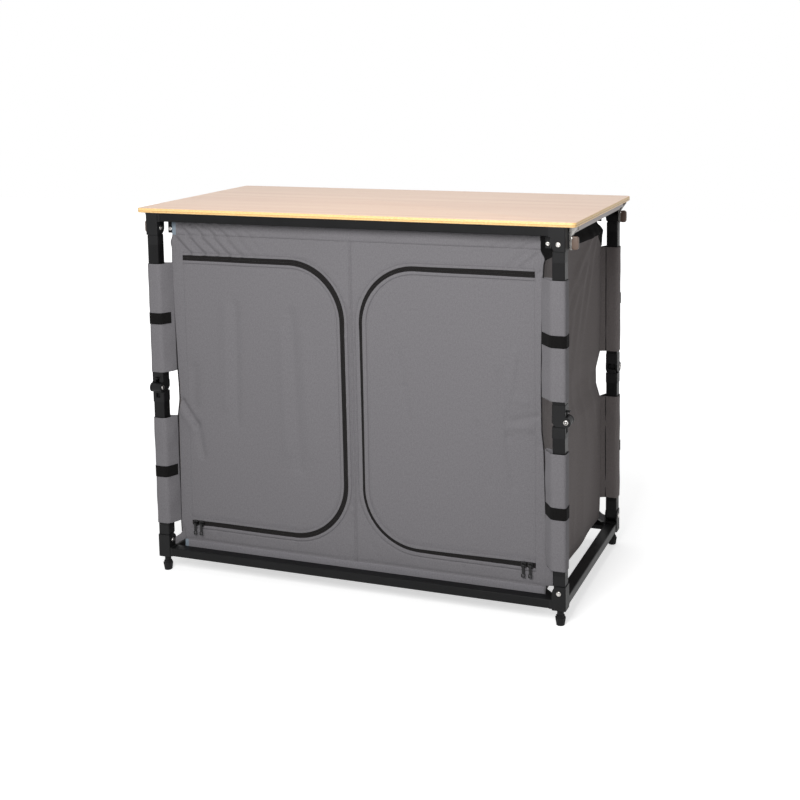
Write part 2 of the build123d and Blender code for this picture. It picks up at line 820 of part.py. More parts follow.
# The four folding legs
lower_tube_start = base_pin_z + collar_end
lower_tube_end = knee_z - knee_collar_end
upper_tube_start = knee_z + knee_collar_end
upper_tube_end = top_pin_z - collar_end
for c in corners:
    lower_length = lower_tube_end - lower_tube_start
    upper_length = upper_tube_end - upper_tube_start
    lower = box_tube(level(c, lower_tube_start), leg_size, leg_size, leg_wall, leg_corner, lower_length)
    upper = box_tube(level(c, upper_tube_start), leg_size, leg_size, leg_wall, leg_corner, upper_length)
    write(lower, f"lower_tube_{c.name}")
    write(upper, f"upper_tube_{c.name}")
    write(group([end_fitting(c, base_pin_z, 1), lower_knee(c)]), f"lower_fittings_{c.name}")
    write(group([end_fitting(c, top_pin_z, -1), upper_knee(c), knee_pin(c)]), f"upper_fittings_{c.name}")
    write(knee_latch(c), f"knee_latch_{c.name}")
    write(wrap(c, lower_wraps, knee_z - lower_strap), f"lower_wrap_{c.name}")
    write(wrap(c, upper_wraps, knee_z + upper_strap), f"upper_wrap_{c.name}")
    write(foot(c), f"foot_{c.name}")

# The lift-off worktop with its battens and clips
write(worktop(), "worktop")
write(battens(), "worktop_battens")
quadrants = [(-1, -1, "fl"), (-1, 1, "bl"), (1, 1, "br"), (1, -1, "fr")]
write(group(clip_bracket(sx, sy) for sx, sy, _ in quadrants), "clip_brackets")
for sx, sy, name in quadrants:
    write(clip_lever(sx, sy), f"clip_lever_{name}")

# The hung cabinet
write(group(hanger(sx, sy) for sx, sy, _ in quadrants), "cabinet_hangers")
write(cabinet_walls(), "cabinet_walls")
write(front_surround(), "front_surround")
write(floor_board(), "floor_board")
write(inner_shelves(), "inner_shelves")
outer_place = door_outer - slider_inset
inner_place = outer_place - slider_spacing
for sign, name in ((-1, "left"), (1, "right")):
    write(door(sign), f"door_{name}")
    write(slider(sign, inner_place), f"slider_{name}_inner")
    write(slider(sign, outer_place), f"slider_{name}_outer")
    write(puller(sign, inner_place), f"puller_{name}_inner")
    write(puller(sign, outer_place), f"puller_{name}_outer")
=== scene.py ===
# %% [markdown]
# # A folding camp kitchen
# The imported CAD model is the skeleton: tubes, moulded corners, knees and clips stay as they are and only get
# their finishes. Everything soft, and what the camera sees close to, is built here round that skeleton: the
# bamboo board, the cloth cabinet with its zips, the leg flaps, and the small bright metal parts.
# Lengths in the code are millimetres, and one function turns them into Blender's metres.

import bmesh
import bpy
import numpy as np
from mathutils import Matrix, Vector


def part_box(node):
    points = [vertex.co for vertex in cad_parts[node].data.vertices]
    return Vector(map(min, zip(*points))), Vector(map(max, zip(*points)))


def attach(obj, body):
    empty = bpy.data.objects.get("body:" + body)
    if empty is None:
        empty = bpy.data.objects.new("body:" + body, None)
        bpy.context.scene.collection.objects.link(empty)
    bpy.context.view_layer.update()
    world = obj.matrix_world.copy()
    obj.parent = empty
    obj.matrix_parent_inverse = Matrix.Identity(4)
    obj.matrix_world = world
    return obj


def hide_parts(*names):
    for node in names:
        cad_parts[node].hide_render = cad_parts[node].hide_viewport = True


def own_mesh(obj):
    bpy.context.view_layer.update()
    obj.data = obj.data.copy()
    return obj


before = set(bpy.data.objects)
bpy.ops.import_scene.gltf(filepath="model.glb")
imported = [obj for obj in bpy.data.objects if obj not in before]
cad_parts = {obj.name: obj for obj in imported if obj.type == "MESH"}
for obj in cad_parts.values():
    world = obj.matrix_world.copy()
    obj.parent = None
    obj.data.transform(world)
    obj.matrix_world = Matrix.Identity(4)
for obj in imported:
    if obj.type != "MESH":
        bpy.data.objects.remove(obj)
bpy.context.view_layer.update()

# %% [markdown]
# ## The camera
# The unit is seen from in front and to the right, from a little above its worktop. The lens axis passes above
# the middle of the picture, which the camera's shift reproduces, so that upright edges stay nearly upright.

# %% Camera
eye = Vector((1.0897, -2.6013, 1.1193))
yaw, pitch, roll = np.radians([-20.1294, 7.0686, -0.6825])
lens_pixels = 1307.17
axis_pixel = (447.65, 214.67)
picture_pixels = 800

ahead = Vector((np.sin(yaw) * np.cos(pitch), np.cos(yaw) * np.cos(pitch), -np.sin(pitch)))
level_right = Vector((np.cos(yaw), -np.sin(yaw), 0))
level_up = level_right.cross(ahead)
camera_right = level_right * np.cos(roll) + level_up * np.sin(roll)
camera_up = level_up * np.cos(roll) - level_right * np.sin(roll)

camera_data = bpy.data.cameras.new("camera")
camera_data.sensor_width = 36
camera_data.lens = lens_pixels * camera_data.sensor_width / picture_pixels
camera_data.shift_x = 0.5 - axis_pixel[0] / picture_pixels
camera_data.shift_y = axis_pixel[1] / picture_pixels - 0.5
camera = bpy.data.objects.new("camera", camera_data)
turn = Matrix((camera_right, camera_up, -ahead)).transposed().to_4x4()
camera.matrix_world = Matrix.Translation(eye) @ turn
bpy.context.scene.collection.objects.link(camera)
bpy.context.scene.camera = camera
print("lens", round(camera_data.lens, 2), "mm")

# %% [markdown]
# ## Colours and nodes
# Colours are written as they look on a screen, in hex, and one function turns them into the linear values
# that the shaders use. One more function adds a node with its settings and links, and every finish is made
# with it.

# %% Colour and node helpers
def linear(hex_code, alpha=1.0):
    """Screen colour to linear: each channel over 255, then ((c + 0.055) / 1.055) to the power 2.4, or c /
    12.92 near black.
    """
    channel = np.array([int(hex_code[i : i + 2], 16) for i in (0, 2, 4)]) / 255
    light = np.where(channel > 0.04045, ((channel + 0.055) / 1.055) ** 2.4, channel / 12.92)
    return (*light, alpha)


def add(tree, kind, inputs=None, **settings):
    """Adds one node to a tree. settings are its own properties; inputs are values, or sockets to link from.
    """
    made = tree.nodes.new("ShaderNode" + kind)
    for name, value in settings.items():
        setattr(made, name, value)
    for name, value in (inputs or {}).items():
        if isinstance(value, bpy.types.NodeSocket):
            tree.links.new(value, made.inputs[name])
        else:
            made.inputs[name].default_value = value
    return made


def finish(name, **constants):
    """A new material and its Principled shader, with the constants set on the shader's own sockets."""
    made = bpy.data.materials.new(name)
    made.use_nodes = True
    shader = made.node_tree.nodes["Principled BSDF"]
    for socket, value in constants.items():
        shader.inputs[socket.replace("_", " ")].default_value = value
    return made, made.node_tree, shader


def value(tree, operation, *inputs):
    """The result of one Math node, whose inputs are numbers or sockets."""
    return add(tree, "Math", dict(enumerate(inputs)), operation=operation).outputs["Value"]


def vector(tree, operation, *inputs):
    """The result of one Vector Math node, whose inputs are vectors or sockets."""
    return add(tree, "VectorMath", dict(enumerate(inputs)), operation=operation).outputs["Vector"]


def noise(tree, place, scale=1.0, detail=2.0, **inputs):
    """A noise texture's value at a place."""
    return add(tree, "TexNoise", {"Vector": place, "Scale": scale, "Detail": detail, **inputs}).outputs["Fac"]


def mixed(tree, factor, first, second):
    """One colour where the factor is 0 and the other where it is 1."""
    return add(tree, "Mix", {"Factor": factor, 6: first, 7: second}, data_type="RGBA").outputs[2]


def coated(tree, shader, colour, height, strength, distance):
    """Links a colour to a shader, and a bump whose depth is in metres."""
    bump = add(tree, "Bump", {"Height": height, "Strength": strength, "Distance": distance})
    tree.links.new(colour, shader.inputs["Base Color"])
    tree.links.new(bump.outputs["Normal"], shader.inputs["Normal"])


def ramp(tree, factor, stops):
    """A colour ramp through (place, hex colour) stops."""
    made = add(tree, "ValToRGB", {"Fac": factor})
    steps = made.color_ramp.elements
    while len(steps) < len(stops):
        steps.new(0.5)
    for step, (place, colour) in zip(steps, stops):
        step.position = place
        step.color = linear(colour)
    return made.outputs["Color"]


# %% [markdown]
# ## Powder-coated steel
# The rails and legs are square steel tube with a black powder coat. The powder melts into a skin that is even
# but not flat: close to, it has the fine orange peel of an eggshell, which spreads each highlight into a soft
# streak along the tube's edge.

# %% Tube and moulding finishes
def speckled(name, base, lighter, grain_mm, bump_mm, patch_mm=60, roughness=0.45, spread=0.12, **constants):
    """A plain coloured surface with a fine bump of grain_mm, broad patches of patch_mm in its colour, and a
    roughness that varies by spread.
    """
    made, tree, shader = finish(name, Roughness=roughness, **constants)
    place = add(tree, "TexCoord").outputs["Object"]
    patches = noise(tree, place, 1000 / patch_mm, 4.0)
    limits = {"To Min": roughness - spread / 2, "To Max": roughness + spread / 2}
    gloss = add(tree, "MapRange", {"Value": patches, **limits})
    tree.links.new(gloss.outputs["Result"], shader.inputs["Roughness"])
    colour = ramp(tree, patches, [(0.35, base), (0.7, lighter)])
    coated(tree, shader, colour, noise(tree, place, 1000 / grain_mm), 0.6, bump_mm / 1000)
    return made


tube_black = speckled(
    "powder_coated_steel", "09090A", "101011", grain_mm=0.8, bump_mm=0.03, roughness=0.42,
    Specular_IOR_Level=0.17,
)
# glass-filled nylon straight from a spark-eroded mould: duller than the coat, with a slight leather grain
moulded_nylon = speckled(
    "moulded_nylon", "0D0D0E", "161617", grain_mm=0.6, bump_mm=0.05, roughness=0.5, Specular_IOR_Level=0.2
)
# the same nylon coloured brown, for the thumb levers of the clips
brown_nylon = speckled("brown_nylon", "5A4A40", "6A574B", grain_mm=0.6, bump_mm=0.04, roughness=0.42)
# rubber feet: almost no shine, and a fine dust on the ribs
foot_rubber = speckled(
    "moulded_rubber", "0E0E0F", "1A1A1B", grain_mm=0.7, bump_mm=0.06, roughness=0.75, Specular_IOR_Level=0.25
)
# cloth-covered fibreboard in the cabinet's floor and shelves, seen only through the doors
covered_board = speckled(
    "cloth_covered_board", "4E4D50", "5A595C", grain_mm=1.2, bump_mm=0.08, roughness=0.85
)
# zinc-plated steel: bright, a little uneven
zinc_steel = speckled(
    "zinc_plated_steel", "969492", "B4B1AD", grain_mm=1.0, bump_mm=0.01, patch_mm=8, roughness=0.28,
    Metallic=1.0
)
print("plain finishes", len(bpy.data.materials))

# %% [markdown]
# ## Extruded aluminium
# The battens under the ends of the worktop are drawn aluminium. Drawing leaves fine lines along the bar, here
# along Y, so the noise is stretched a hundred times further that way than across.

# %% Aluminium finish
drawn_aluminium, tree, shader = finish("drawn_aluminium", Metallic=1.0, Roughness=0.38)
place = add(tree, "TexCoord").outputs["Object"]
drawn = add(tree, "Mapping", {"Vector": place, "Scale": (2500.0, 25.0, 2500.0)})
lines = noise(tree, drawn.outputs["Vector"], detail=3.0)
coated(tree, shader, ramp(tree, lines, [(0.3, "6A6462"), (0.7, "7C7673")]), lines, 0.4, 0.00002)
print("finish", drawn_aluminium.name)

# %% [markdown]
# ## Bamboo plywood
# The worktop is bamboo ply: strips about 20 mm wide laid side by side along the board, each with its own
# tone, fine fibres that run its length, and a faint darker band where the cane had a joint. The edge shows
# the plies: pale, then a darker core whose strips are seen end on, then pale again, all yellower than the
# lacquered face.

# %% Bamboo finish
strip_mm, fibre_mm, fibre_length_mm, joint_gap_mm = 19.0, 1.1, 90.0, 260.0
board_low_mm, board_high_mm = 790.0, 800.0
bamboo, tree, shader = finish("bamboo_plywood", Roughness=0.42, Coat_Weight=0.15, Coat_Roughness=0.35)
coordinates = add(tree, "TexCoord")
place = add(tree, "VectorMath", {"Vector": coordinates.outputs["Object"], "Scale": 1000.0}, operation="SCALE")
place = place.outputs["Vector"]
axes = add(tree, "SeparateXYZ", {"Vector": place}).outputs
strip_number = value(tree, "FLOOR", value(tree, "DIVIDE", axes["Y"], strip_mm))
strip_tone = add(tree, "TexWhiteNoise", {"W": strip_number}, noise_dimensions="1D").outputs["Value"]
fibre_place = vector(tree, "MULTIPLY", place, (1 / fibre_length_mm, 1 / fibre_mm, 1.0))
fibres = noise(tree, fibre_place, detail=5.0, Roughness=0.6)
clouds = noise(tree, vector(tree, "MULTIPLY", place, (0.004, 0.03, 0.02)), detail=3.0)
# the tone is a weighted sum of fibres, strips and broad clouds
tone = value(tree, "MULTIPLY_ADD", fibres, 0.55, 0.22)
tone = value(tree, "MULTIPLY_ADD", strip_tone, 0.14, tone)
tone = value(tree, "MULTIPLY_ADD", clouds, 0.22, tone)
face_colour = ramp(tree, tone, [(0.42, "CCA890"), (0.58, "DDBAA2"), (0.75, "E6C7AF")])
# the cane's joints: a thin line across each strip, at a place along it that differs from strip to strip
joint_place = value(tree, "MULTIPLY", strip_tone, 7.0)
along = value(tree, "FRACT", value(tree, "MULTIPLY_ADD", axes["X"], 1 / joint_gap_mm, joint_place))
joint_width = {"From Min": 0.0, "From Max": 0.02, "To Min": 1.0, "To Max": 0.0}
joint = add(tree, "MapRange", {"Value": along, **joint_width}, interpolation_type="SMOOTHSTEP")
joint_share = value(tree, "MULTIPLY", joint.outputs["Result"], 0.16)
face_colour = mixed(tree, joint_share, face_colour, linear("B98F72"))
height = add(tree, "MapRange", {"Value": axes["Z"], "From Min": board_low_mm, "From Max": board_high_mm})
ply_tones = [(0.0, "E2AE6C"), (0.28, "FFD891"), (0.36, "A8733C"), (0.44, "E0A75F"), (0.54, "FFDD9C")]
plies = ramp(tree, height.outputs["Result"], ply_tones + [(0.86, "FFD48A"), (1.0, "D9A86C")])
ends_noise = noise(tree, vector(tree, "MULTIPLY", place, (0.22, 0.22, 1.1)))
edge_colour = mixed(tree, 0.35, plies, ramp(tree, ends_noise, [(0.35, "D9A05A"), (0.62, "FFE2A8")]))
upright = add(tree, "SeparateXYZ", {"Vector": coordinates.outputs["Normal"]}).outputs["Z"]
facing_up = {"Value": value(tree, "ABSOLUTE", upright), "From Min": 0.55, "From Max": 0.9}
is_face = add(tree, "MapRange", facing_up).outputs["Result"]
coated(tree, shader, mixed(tree, is_face, edge_colour, face_colour), fibres, 0.25, 0.0001)
print("finish", bamboo.name, "strips of", strip_mm, "mm")

# %% [markdown]
# ## Woven cloth and tape
# The cabinet is coated polyester in a plain weave, the fastening straps are hook-and-loop tape and the zips
# have woven tape. All three are threads over and under each other, so one function makes them: two waves at
# right angles along the piece's own UV map, which is in metres of cloth, so the threads follow every fold.
# The real threads are about 0.5 mm apart, too fine to show, and are drawn 1.1 mm apart. Slightly thicker
# threads here and there give the cloth its faint streaks.

# %% Cloth finishes
# how far apart the small thick places in a thread lie
slub_mm = 1.7


def woven(
    name, dark, light, thread_mm=1.1, rough=0.8, sheen=0.25, sheen_tint="B8B8BC", streak_mm=(3, 6),
    lift_mm=0.12,
):
    """A plain weave: the height is the larger of two sine waves along U and V, one thread apart. The colour
    wanders between dark and light in streaks.
    """
    made, tree, shader = finish(
        name,
        Roughness=rough,
        Specular_IOR_Level=0.12,
        Sheen_Weight=sheen,
        Sheen_Roughness=0.5,
        Sheen_Tint=linear(sheen_tint),
    )
    thread = add(tree, "TexCoord").outputs["UV"]
    # a wave texture's period is 0.314 over its scale
    scale = 0.314 / (thread_mm / 1000)
    warp = add(tree, "TexWave", {"Vector": thread, "Scale": scale}, bands_direction="X")
    weft = add(tree, "TexWave", {"Vector": thread, "Scale": scale}, bands_direction="Y")
    weave = value(tree, "MAXIMUM", warp.outputs["Fac"], weft.outputs["Fac"])
    across, along = streak_mm
    streak_place = add(tree, "Mapping", {"Vector": thread, "Scale": (1000 / across, 1000 / along, 1.0)})
    streaks = noise(tree, streak_place.outputs["Vector"])
    tone = value(tree, "MULTIPLY_ADD", noise(tree, thread, 1000 / slub_mm, 1.0), 0.65, 0.0)
    tone = value(tree, "MULTIPLY_ADD", streaks, 0.35, tone)
    coated(tree, shader, ramp(tree, tone, [(0.36, dark), (0.64, light)]), weave, 0.5, lift_mm / 1000)
    return made


grey_cloth = woven("coated_polyester", "6D6B6E", "7B797C", sheen=0.12)
# the same cloth painted a little browner for the warm light bounced onto the ends, the back and the back
# flaps: painted light
cloth_painted_warm = woven("coated_polyester_of_ends", "706A69", "7E7877", sheen=0.1)
# the cabinet's grey cloth painted lighter, for more light falling on the hem: painted light
hem_cloth_painted_lighter = woven("polyester_hem_tape", "78767A", "88868A", thread_mm=1.6, sheen=0.12)
strap_tape = woven(
    "hook_and_loop_tape", "0E0D0D", "171616", thread_mm=1.5, rough=0.95, sheen=0.06, sheen_tint="606062"
)
zip_tape = woven(
    "woven_zip_tape", "171616", "211F1F", thread_mm=1.4, rough=0.75, sheen=0.05, sheen_tint="6A6866"
)
reflective_tape = woven("bluish_edge_tape", "75808A", "8C98A3", thread_mm=1.2, rough=0.5)
sewing_thread = woven("sewing_thread", "5C5A5D", "66646A", thread_mm=0.5, lift_mm=0.05)
zip_coil = speckled("nylon_zip_coil", "0C0C0C", "151515", grain_mm=0.8, bump_mm=0.01, roughness=0.3)
zip_metal = speckled(
    "black_enamelled_zinc", "070708", "101011", grain_mm=1.5, bump_mm=0.01, patch_mm=5, roughness=0.3,
    Specular_IOR_Level=0.3
)
# black cord piped into the cabinet's upright seams; along the back flaps' fold at the leg the same black
# paints the shade of the gap there
piping_and_gap_shade = speckled(
    "polyester_piping_cord", "161516", "232223", grain_mm=1.2, bump_mm=0.1, roughness=0.85,
    Specular_IOR_Level=0.15,
)
print("finishes", len(bpy.data.materials))

# %% [markdown]
# ## Meshes from arrays
# A piece is a grid of points worked out as whole numpy arrays, and the quads between neighbouring points.
# These helpers join neighbours, stack several shapes into one mesh, and make the object: its UV map is in
# metres along the surface, and the function says what it made.

# %% Mesh helpers
MM = 0.001
TO_FRONT, TO_BACK = (0, -1, 0), (0, 1, 0)


def grid_quads(rows, columns, closed=False):
    """Quads between neighbours in a rows by columns grid stored row by row; closed also joins the last
    column to the first.
    """
    row = np.arange(rows - 1)[:, None] * columns
    column = np.arange(columns if closed else columns - 1)[None, :]
    after = (column + 1) % columns
    return np.stack(
        [row + column, row + after, row + columns + after, row + columns + column], axis=-1
    ).reshape(-1, 4)


def stacked(shapes):
    """Several (points, quads) shapes as one: each shape's quads count on from the points before it."""
    starts = np.cumsum([0] + [len(points) for points, _ in shapes[:-1]])
    quads = np.concatenate([q + s for (_, q), s in zip(shapes, starts)])
    return np.concatenate([p for p, _ in shapes]), quads


def welded(points, quads):
    """Points that fall on each other, to a thousandth of a millimetre, become one."""
    _, first, number = np.unique(np.round(points, 3), axis=0, return_index=True, return_inverse=True)
    return points[first], number.reshape(-1)[quads]


def copies(shape, origins, axes):
    """A small shape once at each origin, turned so that its x, y and z lie along the rows of that copy's
    axes.
    """
    points, quads = shape
    placed = np.einsum("pi,kij->kpj", points, axes) + origins[:, None, :]
    numbers = quads[None] + np.arange(len(origins))[:, None, None] * len(points)
    return placed.reshape(-1, 3), numbers.reshape(-1, quads.shape[1])


def faced(shape, direction):
    """An open surface turned over where its average normal, from the quads' diagonals, points away from a
    direction.
    """
    points, quads = shape
    p = points[quads]
    normal = np.cross(p[:, 2] - p[:, 0], p[:, 3] - p[:, 1]).sum(0)
    return points, quads if normal @ np.array(direction) > 0 else quads[:, ::-1]


def unit(vectors):
    """Each vector over its own length."""
    return vectors / np.linalg.norm(vectors, axis=-1, keepdims=True)


def make(
    name, shape, material, body, slot, uv=None, smooth=True, replaces=(), thickness=0.0, caps=(), weld=False
):
    """An object from a shape in millimetres. uv is one (u, v) in millimetres of cloth for each point; caps
    are closing faces; thickness is given inwards.
    """
    points, quads = shape
    mesh = bpy.data.meshes.new(name)
    mesh.from_pydata((points * MM).tolist(), [], quads.tolist() + [list(map(int, cap)) for cap in caps])
    mesh.materials.append(material)
    mesh.polygons.foreach_set("use_smooth", np.full(len(mesh.polygons), smooth))
    if uv is not None:
        corner = np.zeros(len(mesh.loops), np.int32)
        mesh.loops.foreach_get("vertex_index", corner)
        mesh.uv_layers.new(name="cloth").data.foreach_set("uv", (uv * MM)[corner].astype(np.float32).ravel())
    if weld:
        # a pole's points, which are one place, become one point
        work = bmesh.new()
        work.from_mesh(mesh)
        bmesh.ops.remove_doubles(work, verts=work.verts, dist=MM / 1000)
        work.to_mesh(mesh)
        work.free()
    made = bpy.data.objects.new(name, mesh)
    bpy.context.scene.collection.objects.link(made)
    if thickness:
        wall = made.modifiers.new("thickness", "SOLIDIFY")
        wall.thickness = thickness * MM
        wall.offset = -1
        even = made.modifiers.new("even shading", "WEIGHTED_NORMAL")
        even.weight = 100
    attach(made, body)
    if replaces:
        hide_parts(*replaces)
    print(f"{name}: {len(points)} points, {len(mesh.polygons)} faces, on {body}")
    return made


# %% [markdown]
# ## Places taken from the frame
# Each soft piece stays where its CAD solid is, so its limits are read from that solid's box. The cloth is a
# little narrower than its CAD panel, because the real one is drawn in between the legs.

# %% Places
def span(node):
    """The lowest and highest corner of a CAD node, in millimetres."""
    low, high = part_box(node)
    return np.array(low) * 1000, np.array(high) * 1000


wall_low, wall_high = span("cabinet_walls")
board_low, board_high = span("worktop")
floor_low, floor_high = span("floor_board")
door_low, door_high = span("door_right")
# the hem reaches up behind the rail, and down behind the base rail
cloth_top = wall_high[2] + 7
cloth_bottom = wall_low[2] - 12
front_y = wall_low[1] - 1.5
back_y = wall_high[1]
cloth_thick = 1.2
leg_x, leg_y = 445.0, 225.0
door_inner, door_outer = 20.5, door_high[0]
door_bottom, door_top = door_low[2] - 0.5, door_high[2] + 0.5
door_radius = 120.0
hinge_x = door_outer + 0.3
print(
    "cloth from", cloth_bottom, "to", cloth_top, "front at", front_y, "doors", door_bottom, door_top,
    door_outer,
)

def squashed(piece):
    """Gives a piece of the cabinet's cloth its own copy of its mesh, and returns it.
    """
    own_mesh(piece)
    return piece


def surface(points, direction):
    """An open surface from a rows by columns grid of points, turned to face a direction."""
    return faced((points.reshape(-1, 3), grid_quads(*points.shape[:2])), direction)


def sewn(name, shape, material, body="base", slot="grey_cloth", flat=(0, 2), uv=None, **settings):
    """A piece of the cabinet's cloth. Its UV map is the two axes that it lies along, unless one is given."""
    uv = shape[0][:, flat] if uv is None else uv
    return squashed(make(name, shape, material, body, slot, uv=uv, **settings))


# %% [markdown]
# ## Worktop board
# The board is one outline, a rectangle with rounded corners, carried round a small profile that eases its top
# and bottom edges. The rings are joined and the two faces closed with one face each, which keeps them flat.

# %% Worktop
def rounded_rectangle(half_x, half_y, radius, per_corner=10):
    """Anticlockwise outline: four quarter circles of the radius, their centres in from the corners by the
    radius.
    """
    angle = np.linspace(0, np.pi / 2, per_corner)[None, :] + np.arange(4)[:, None] * np.pi / 2
    centre_x = (half_x - radius) * np.array([1, -1, -1, 1])[:, None]
    centre_y = (half_y - radius) * np.array([1, 1, -1, -1])[:, None]
    outline = np.stack(
        [centre_x + radius * np.cos(angle), centre_y + radius * np.sin(angle)], axis=-1
    ).reshape(-1, 2)
    normals = np.stack([np.cos(angle), np.sin(angle)], axis=-1).reshape(-1, 2)
    return outline, normals


def slab(outline, normals, low, high, ease, steps=5):
    """A closed board. Ring k is the outline moved in by ease (1 - sin a) at a height ease (1 - cos a) from
    a face, as a runs over a quarter turn.
    """
    a = np.linspace(0, np.pi / 2, steps)
    inward = ease * (1 - np.sin(a))
    rise = ease * (1 - np.cos(a))
    inset = np.concatenate([inward, inward[::-1]])
    height = np.concatenate([low + rise, (high - rise)[::-1]])
    rings = outline[None] - inset[:, None, None] * normals[None]
    points = np.concatenate([rings, np.broadcast_to(height[:, None, None], (*rings.shape[:2], 1))], axis=-1)
    count = len(outline)
    caps = [np.arange(count)[::-1], np.arange(count) + (len(inset) - 1) * count]
    return (points.reshape(-1, 3), grid_quads(len(inset), count, closed=True)), caps


outline, normals = rounded_rectangle(board_high[0], board_high[1], 9.0)
board, board_caps = slab(outline, normals, board_low[2], board_high[2], 1.6)
make("bamboo_worktop", board, bamboo, "worktop", "bamboo", caps=board_caps, replaces=["worktop"])

# %% [markdown]
# ## The shape of the front
# The front hangs from the two ends of the top rail and is held out by the leg flaps, so its side edges are
# not straight: they run out under the hem, in again between the flaps, and out to the tabs at the bottom.
# The cloth also pulls in folds from its hanging corners, dips along every seam, and bellies a little
# between them. One function gives how far the cloth stands out at any place, and every piece on the front
# reads it, so zips, stitches and doors all lie on the same cloth.

# %% Front edges and relief
edge_heights = [46, 66, 80, 118, 225, 345, 380, 415, 452, 555, 675, 714, 725, 735, 742, 771]
edge_left = [408, 411, 417, 418, 417, 416, 410.5, 411, 413, 414, 416, 415, 418.5, 413, 412, 412]
edge_right = [409, 411, 413, 413, 410, 407, 403, 402.5, 402, 403, 405.5, 408, 411.5, 404, 402, 402]


def side_edge(z, side):
    """Half width of the cabinet's front at height z: straight runs between the measured places, rounded by
    averaging three heights.
    """
    edge = edge_left if side < 0 else edge_right
    return sum(np.interp(z + step, edge_heights, edge) for step in (-4, 0, 4)) / 3


def folds(x, z, count, start, step, angle, length, width, height, fade):
    """Soft ridges in a row. Ridge k is height e^(-k/fade) times a Gaussian, long along the angle and narrow
    across it, centred at start + k step.
    """
    k = np.arange(count)
    across_x = x[..., None] - (start[0] + k * step[0])
    across_z = z[..., None] - (start[1] + k * step[1])
    c, s = np.cos(np.radians(angle)), np.sin(np.radians(angle))
    along = across_x * c + across_z * s
    over = across_z * c - across_x * s
    return (height * np.exp(-k / fade) * np.exp(-((along / length) ** 2) - (over / width) ** 2)).sum(-1)


hem_z = 742.0
low_seam_z = 69.0
placket_inner, placket_outer = 5.0, 12.4
zip_stitch = 11.2
coil_room = 2.0
wave_seed = np.random.default_rng(7)
wave_numbers = wave_seed.uniform(-1, 1, (9, 2)) * np.array([0.030, 0.014])
wave_starts = wave_seed.uniform(0, 2 * np.pi, 9)


def zip_offset(x, z):
    """Distance outwards from the nearer zip's line: that of a box with rounded corners, which has no end at
    its hinge.
    """
    over = door_inner + door_radius - np.abs(x)
    above = np.abs(z - (door_top + door_bottom) / 2) - (door_top - door_bottom) / 2 + door_radius
    beyond = np.hypot(np.maximum(over, 0), np.maximum(above, 0))
    return beyond + np.minimum(np.maximum(over, above), 0) - door_radius


# soft creases seen on the real cloth: from (x, z) to (x, z), width, height, in mm
creases = np.array(
    [
        (-139, 584, -126, 253, 11, -3.6),
        (-160, 541, -152, 285, 12, 2.0),
        (-108, 544, -96, 291, 12, 1.8),
        (-270, 593, -274, 344, 11, -3.0),
        (-293, 592, -297, 376, 12, 1.8),
        (-374, 452, -376, 372, 13, -2.6),
        (-405, 376, -371, 326, 6.0, -5.5),
        (-408, 352, -374, 312, 8, 2.0),
        (-371, 326, -359, 262, 9, -3.6),
        (99, 524, 111, 451, 6, -1.8),
        (111, 451, 123, 378, 5, -2.0),
        (350, 534, 330, 416, 7, 2.0),
        (314, 491, 327, 420, 7, -2.0),
        (329, 412, 333, 364, 5, -2.6),
        (333, 364, 345, 262, 7, -2.0),
        (271, 383, 295, 263, 8, -1.9),
        (356, 442, 372, 436, 9, 2.0),
        (345, 398, 394, 411, 6, -2.4),
        (336, 384, 378, 387, 7, 2.0),
        (384, 372, 397, 352, 6, -2.0),
        (-404, 731, -374, 701, 4.8, -6.2),
        (-373, 732, -340, 700, 4.8, -6.2),
        (-345, 733, -308, 701, 4.8, -5.4),
        (-315, 732, -280, 699, 5.0, -4.5),
        (-284, 731, -250, 700, 5.0, -3.4),
        (-252, 730, -220, 701, 5.0, -1.8),
        (-222, 730, -194, 703, 5.0, -1.1),
        (-398, 762, -378, 744, 4.2, -4.8),
        (-370, 764, -346, 744, 4.2, -4.8),
        (-341, 763, -316, 743, 4.4, -4.2),
        (-311, 762, -286, 742, 4.6, -3.5),
        (-280, 762, -255, 742, 4.6, -2.1),
        (-250, 761, -226, 742, 4.8, -1.6),
        (-219, 760, -194, 742, 4.8, -1.1),
        (398, 763, 366, 744, 4.4, -2.4),
        (372, 763, 336, 744, 4.8, -1.9),
        (340, 762, 306, 743, 5.0, -1.6),
        (396, 731, 362, 706, 4.6, -2.5),
        (372, 732, 334, 704, 5.0, -1.8),
        (404, 700, 386, 682, 4.0, -1.8),
    ]
)


def creased(x, z):
    """Sum over the creases of height e^(-(d/width)^2), where d is the distance to the nearest place on the
    crease.
    """
    ax, az, bx, bz, width, height = creases.T
    dx, dz = bx - ax, bz - az
    share = np.clip(((x[..., None] - ax) * dx + (z[..., None] - az) * dz) / (dx**2 + dz**2), 0, 1)
    d = np.hypot(x[..., None] - ax - share * dx, z[..., None] - az - share * dz)
    return (height * np.exp(-((d / width) ** 2))).sum(-1)


pucker_count = 74
pucker_seed = np.random.default_rng(3)
pucker_z = np.linspace(150, 640, pucker_count) + pucker_seed.uniform(-2.5, 2.5, pucker_count)
pucker_x = pucker_seed.uniform(-9, 9, pucker_count)
pucker_turn = np.radians(pucker_seed.choice([-1, 1], pucker_count) * pucker_seed.uniform(8, 42, pucker_count))


def puckers(x, z):
    """Small tight ridges across the strip between the two zips, where three rows of stitches draw the cloth
    up.
    """
    over_x, over_z = x[..., None] - pucker_x, z[..., None] - pucker_z
    along = over_x * np.cos(pucker_turn) + over_z * np.sin(pucker_turn)
    across = over_z * np.cos(pucker_turn) - over_x * np.sin(pucker_turn)
    return (1.0 * np.exp(-((along / 6.5) ** 2) - (across / 1.9) ** 2)).sum(-1)


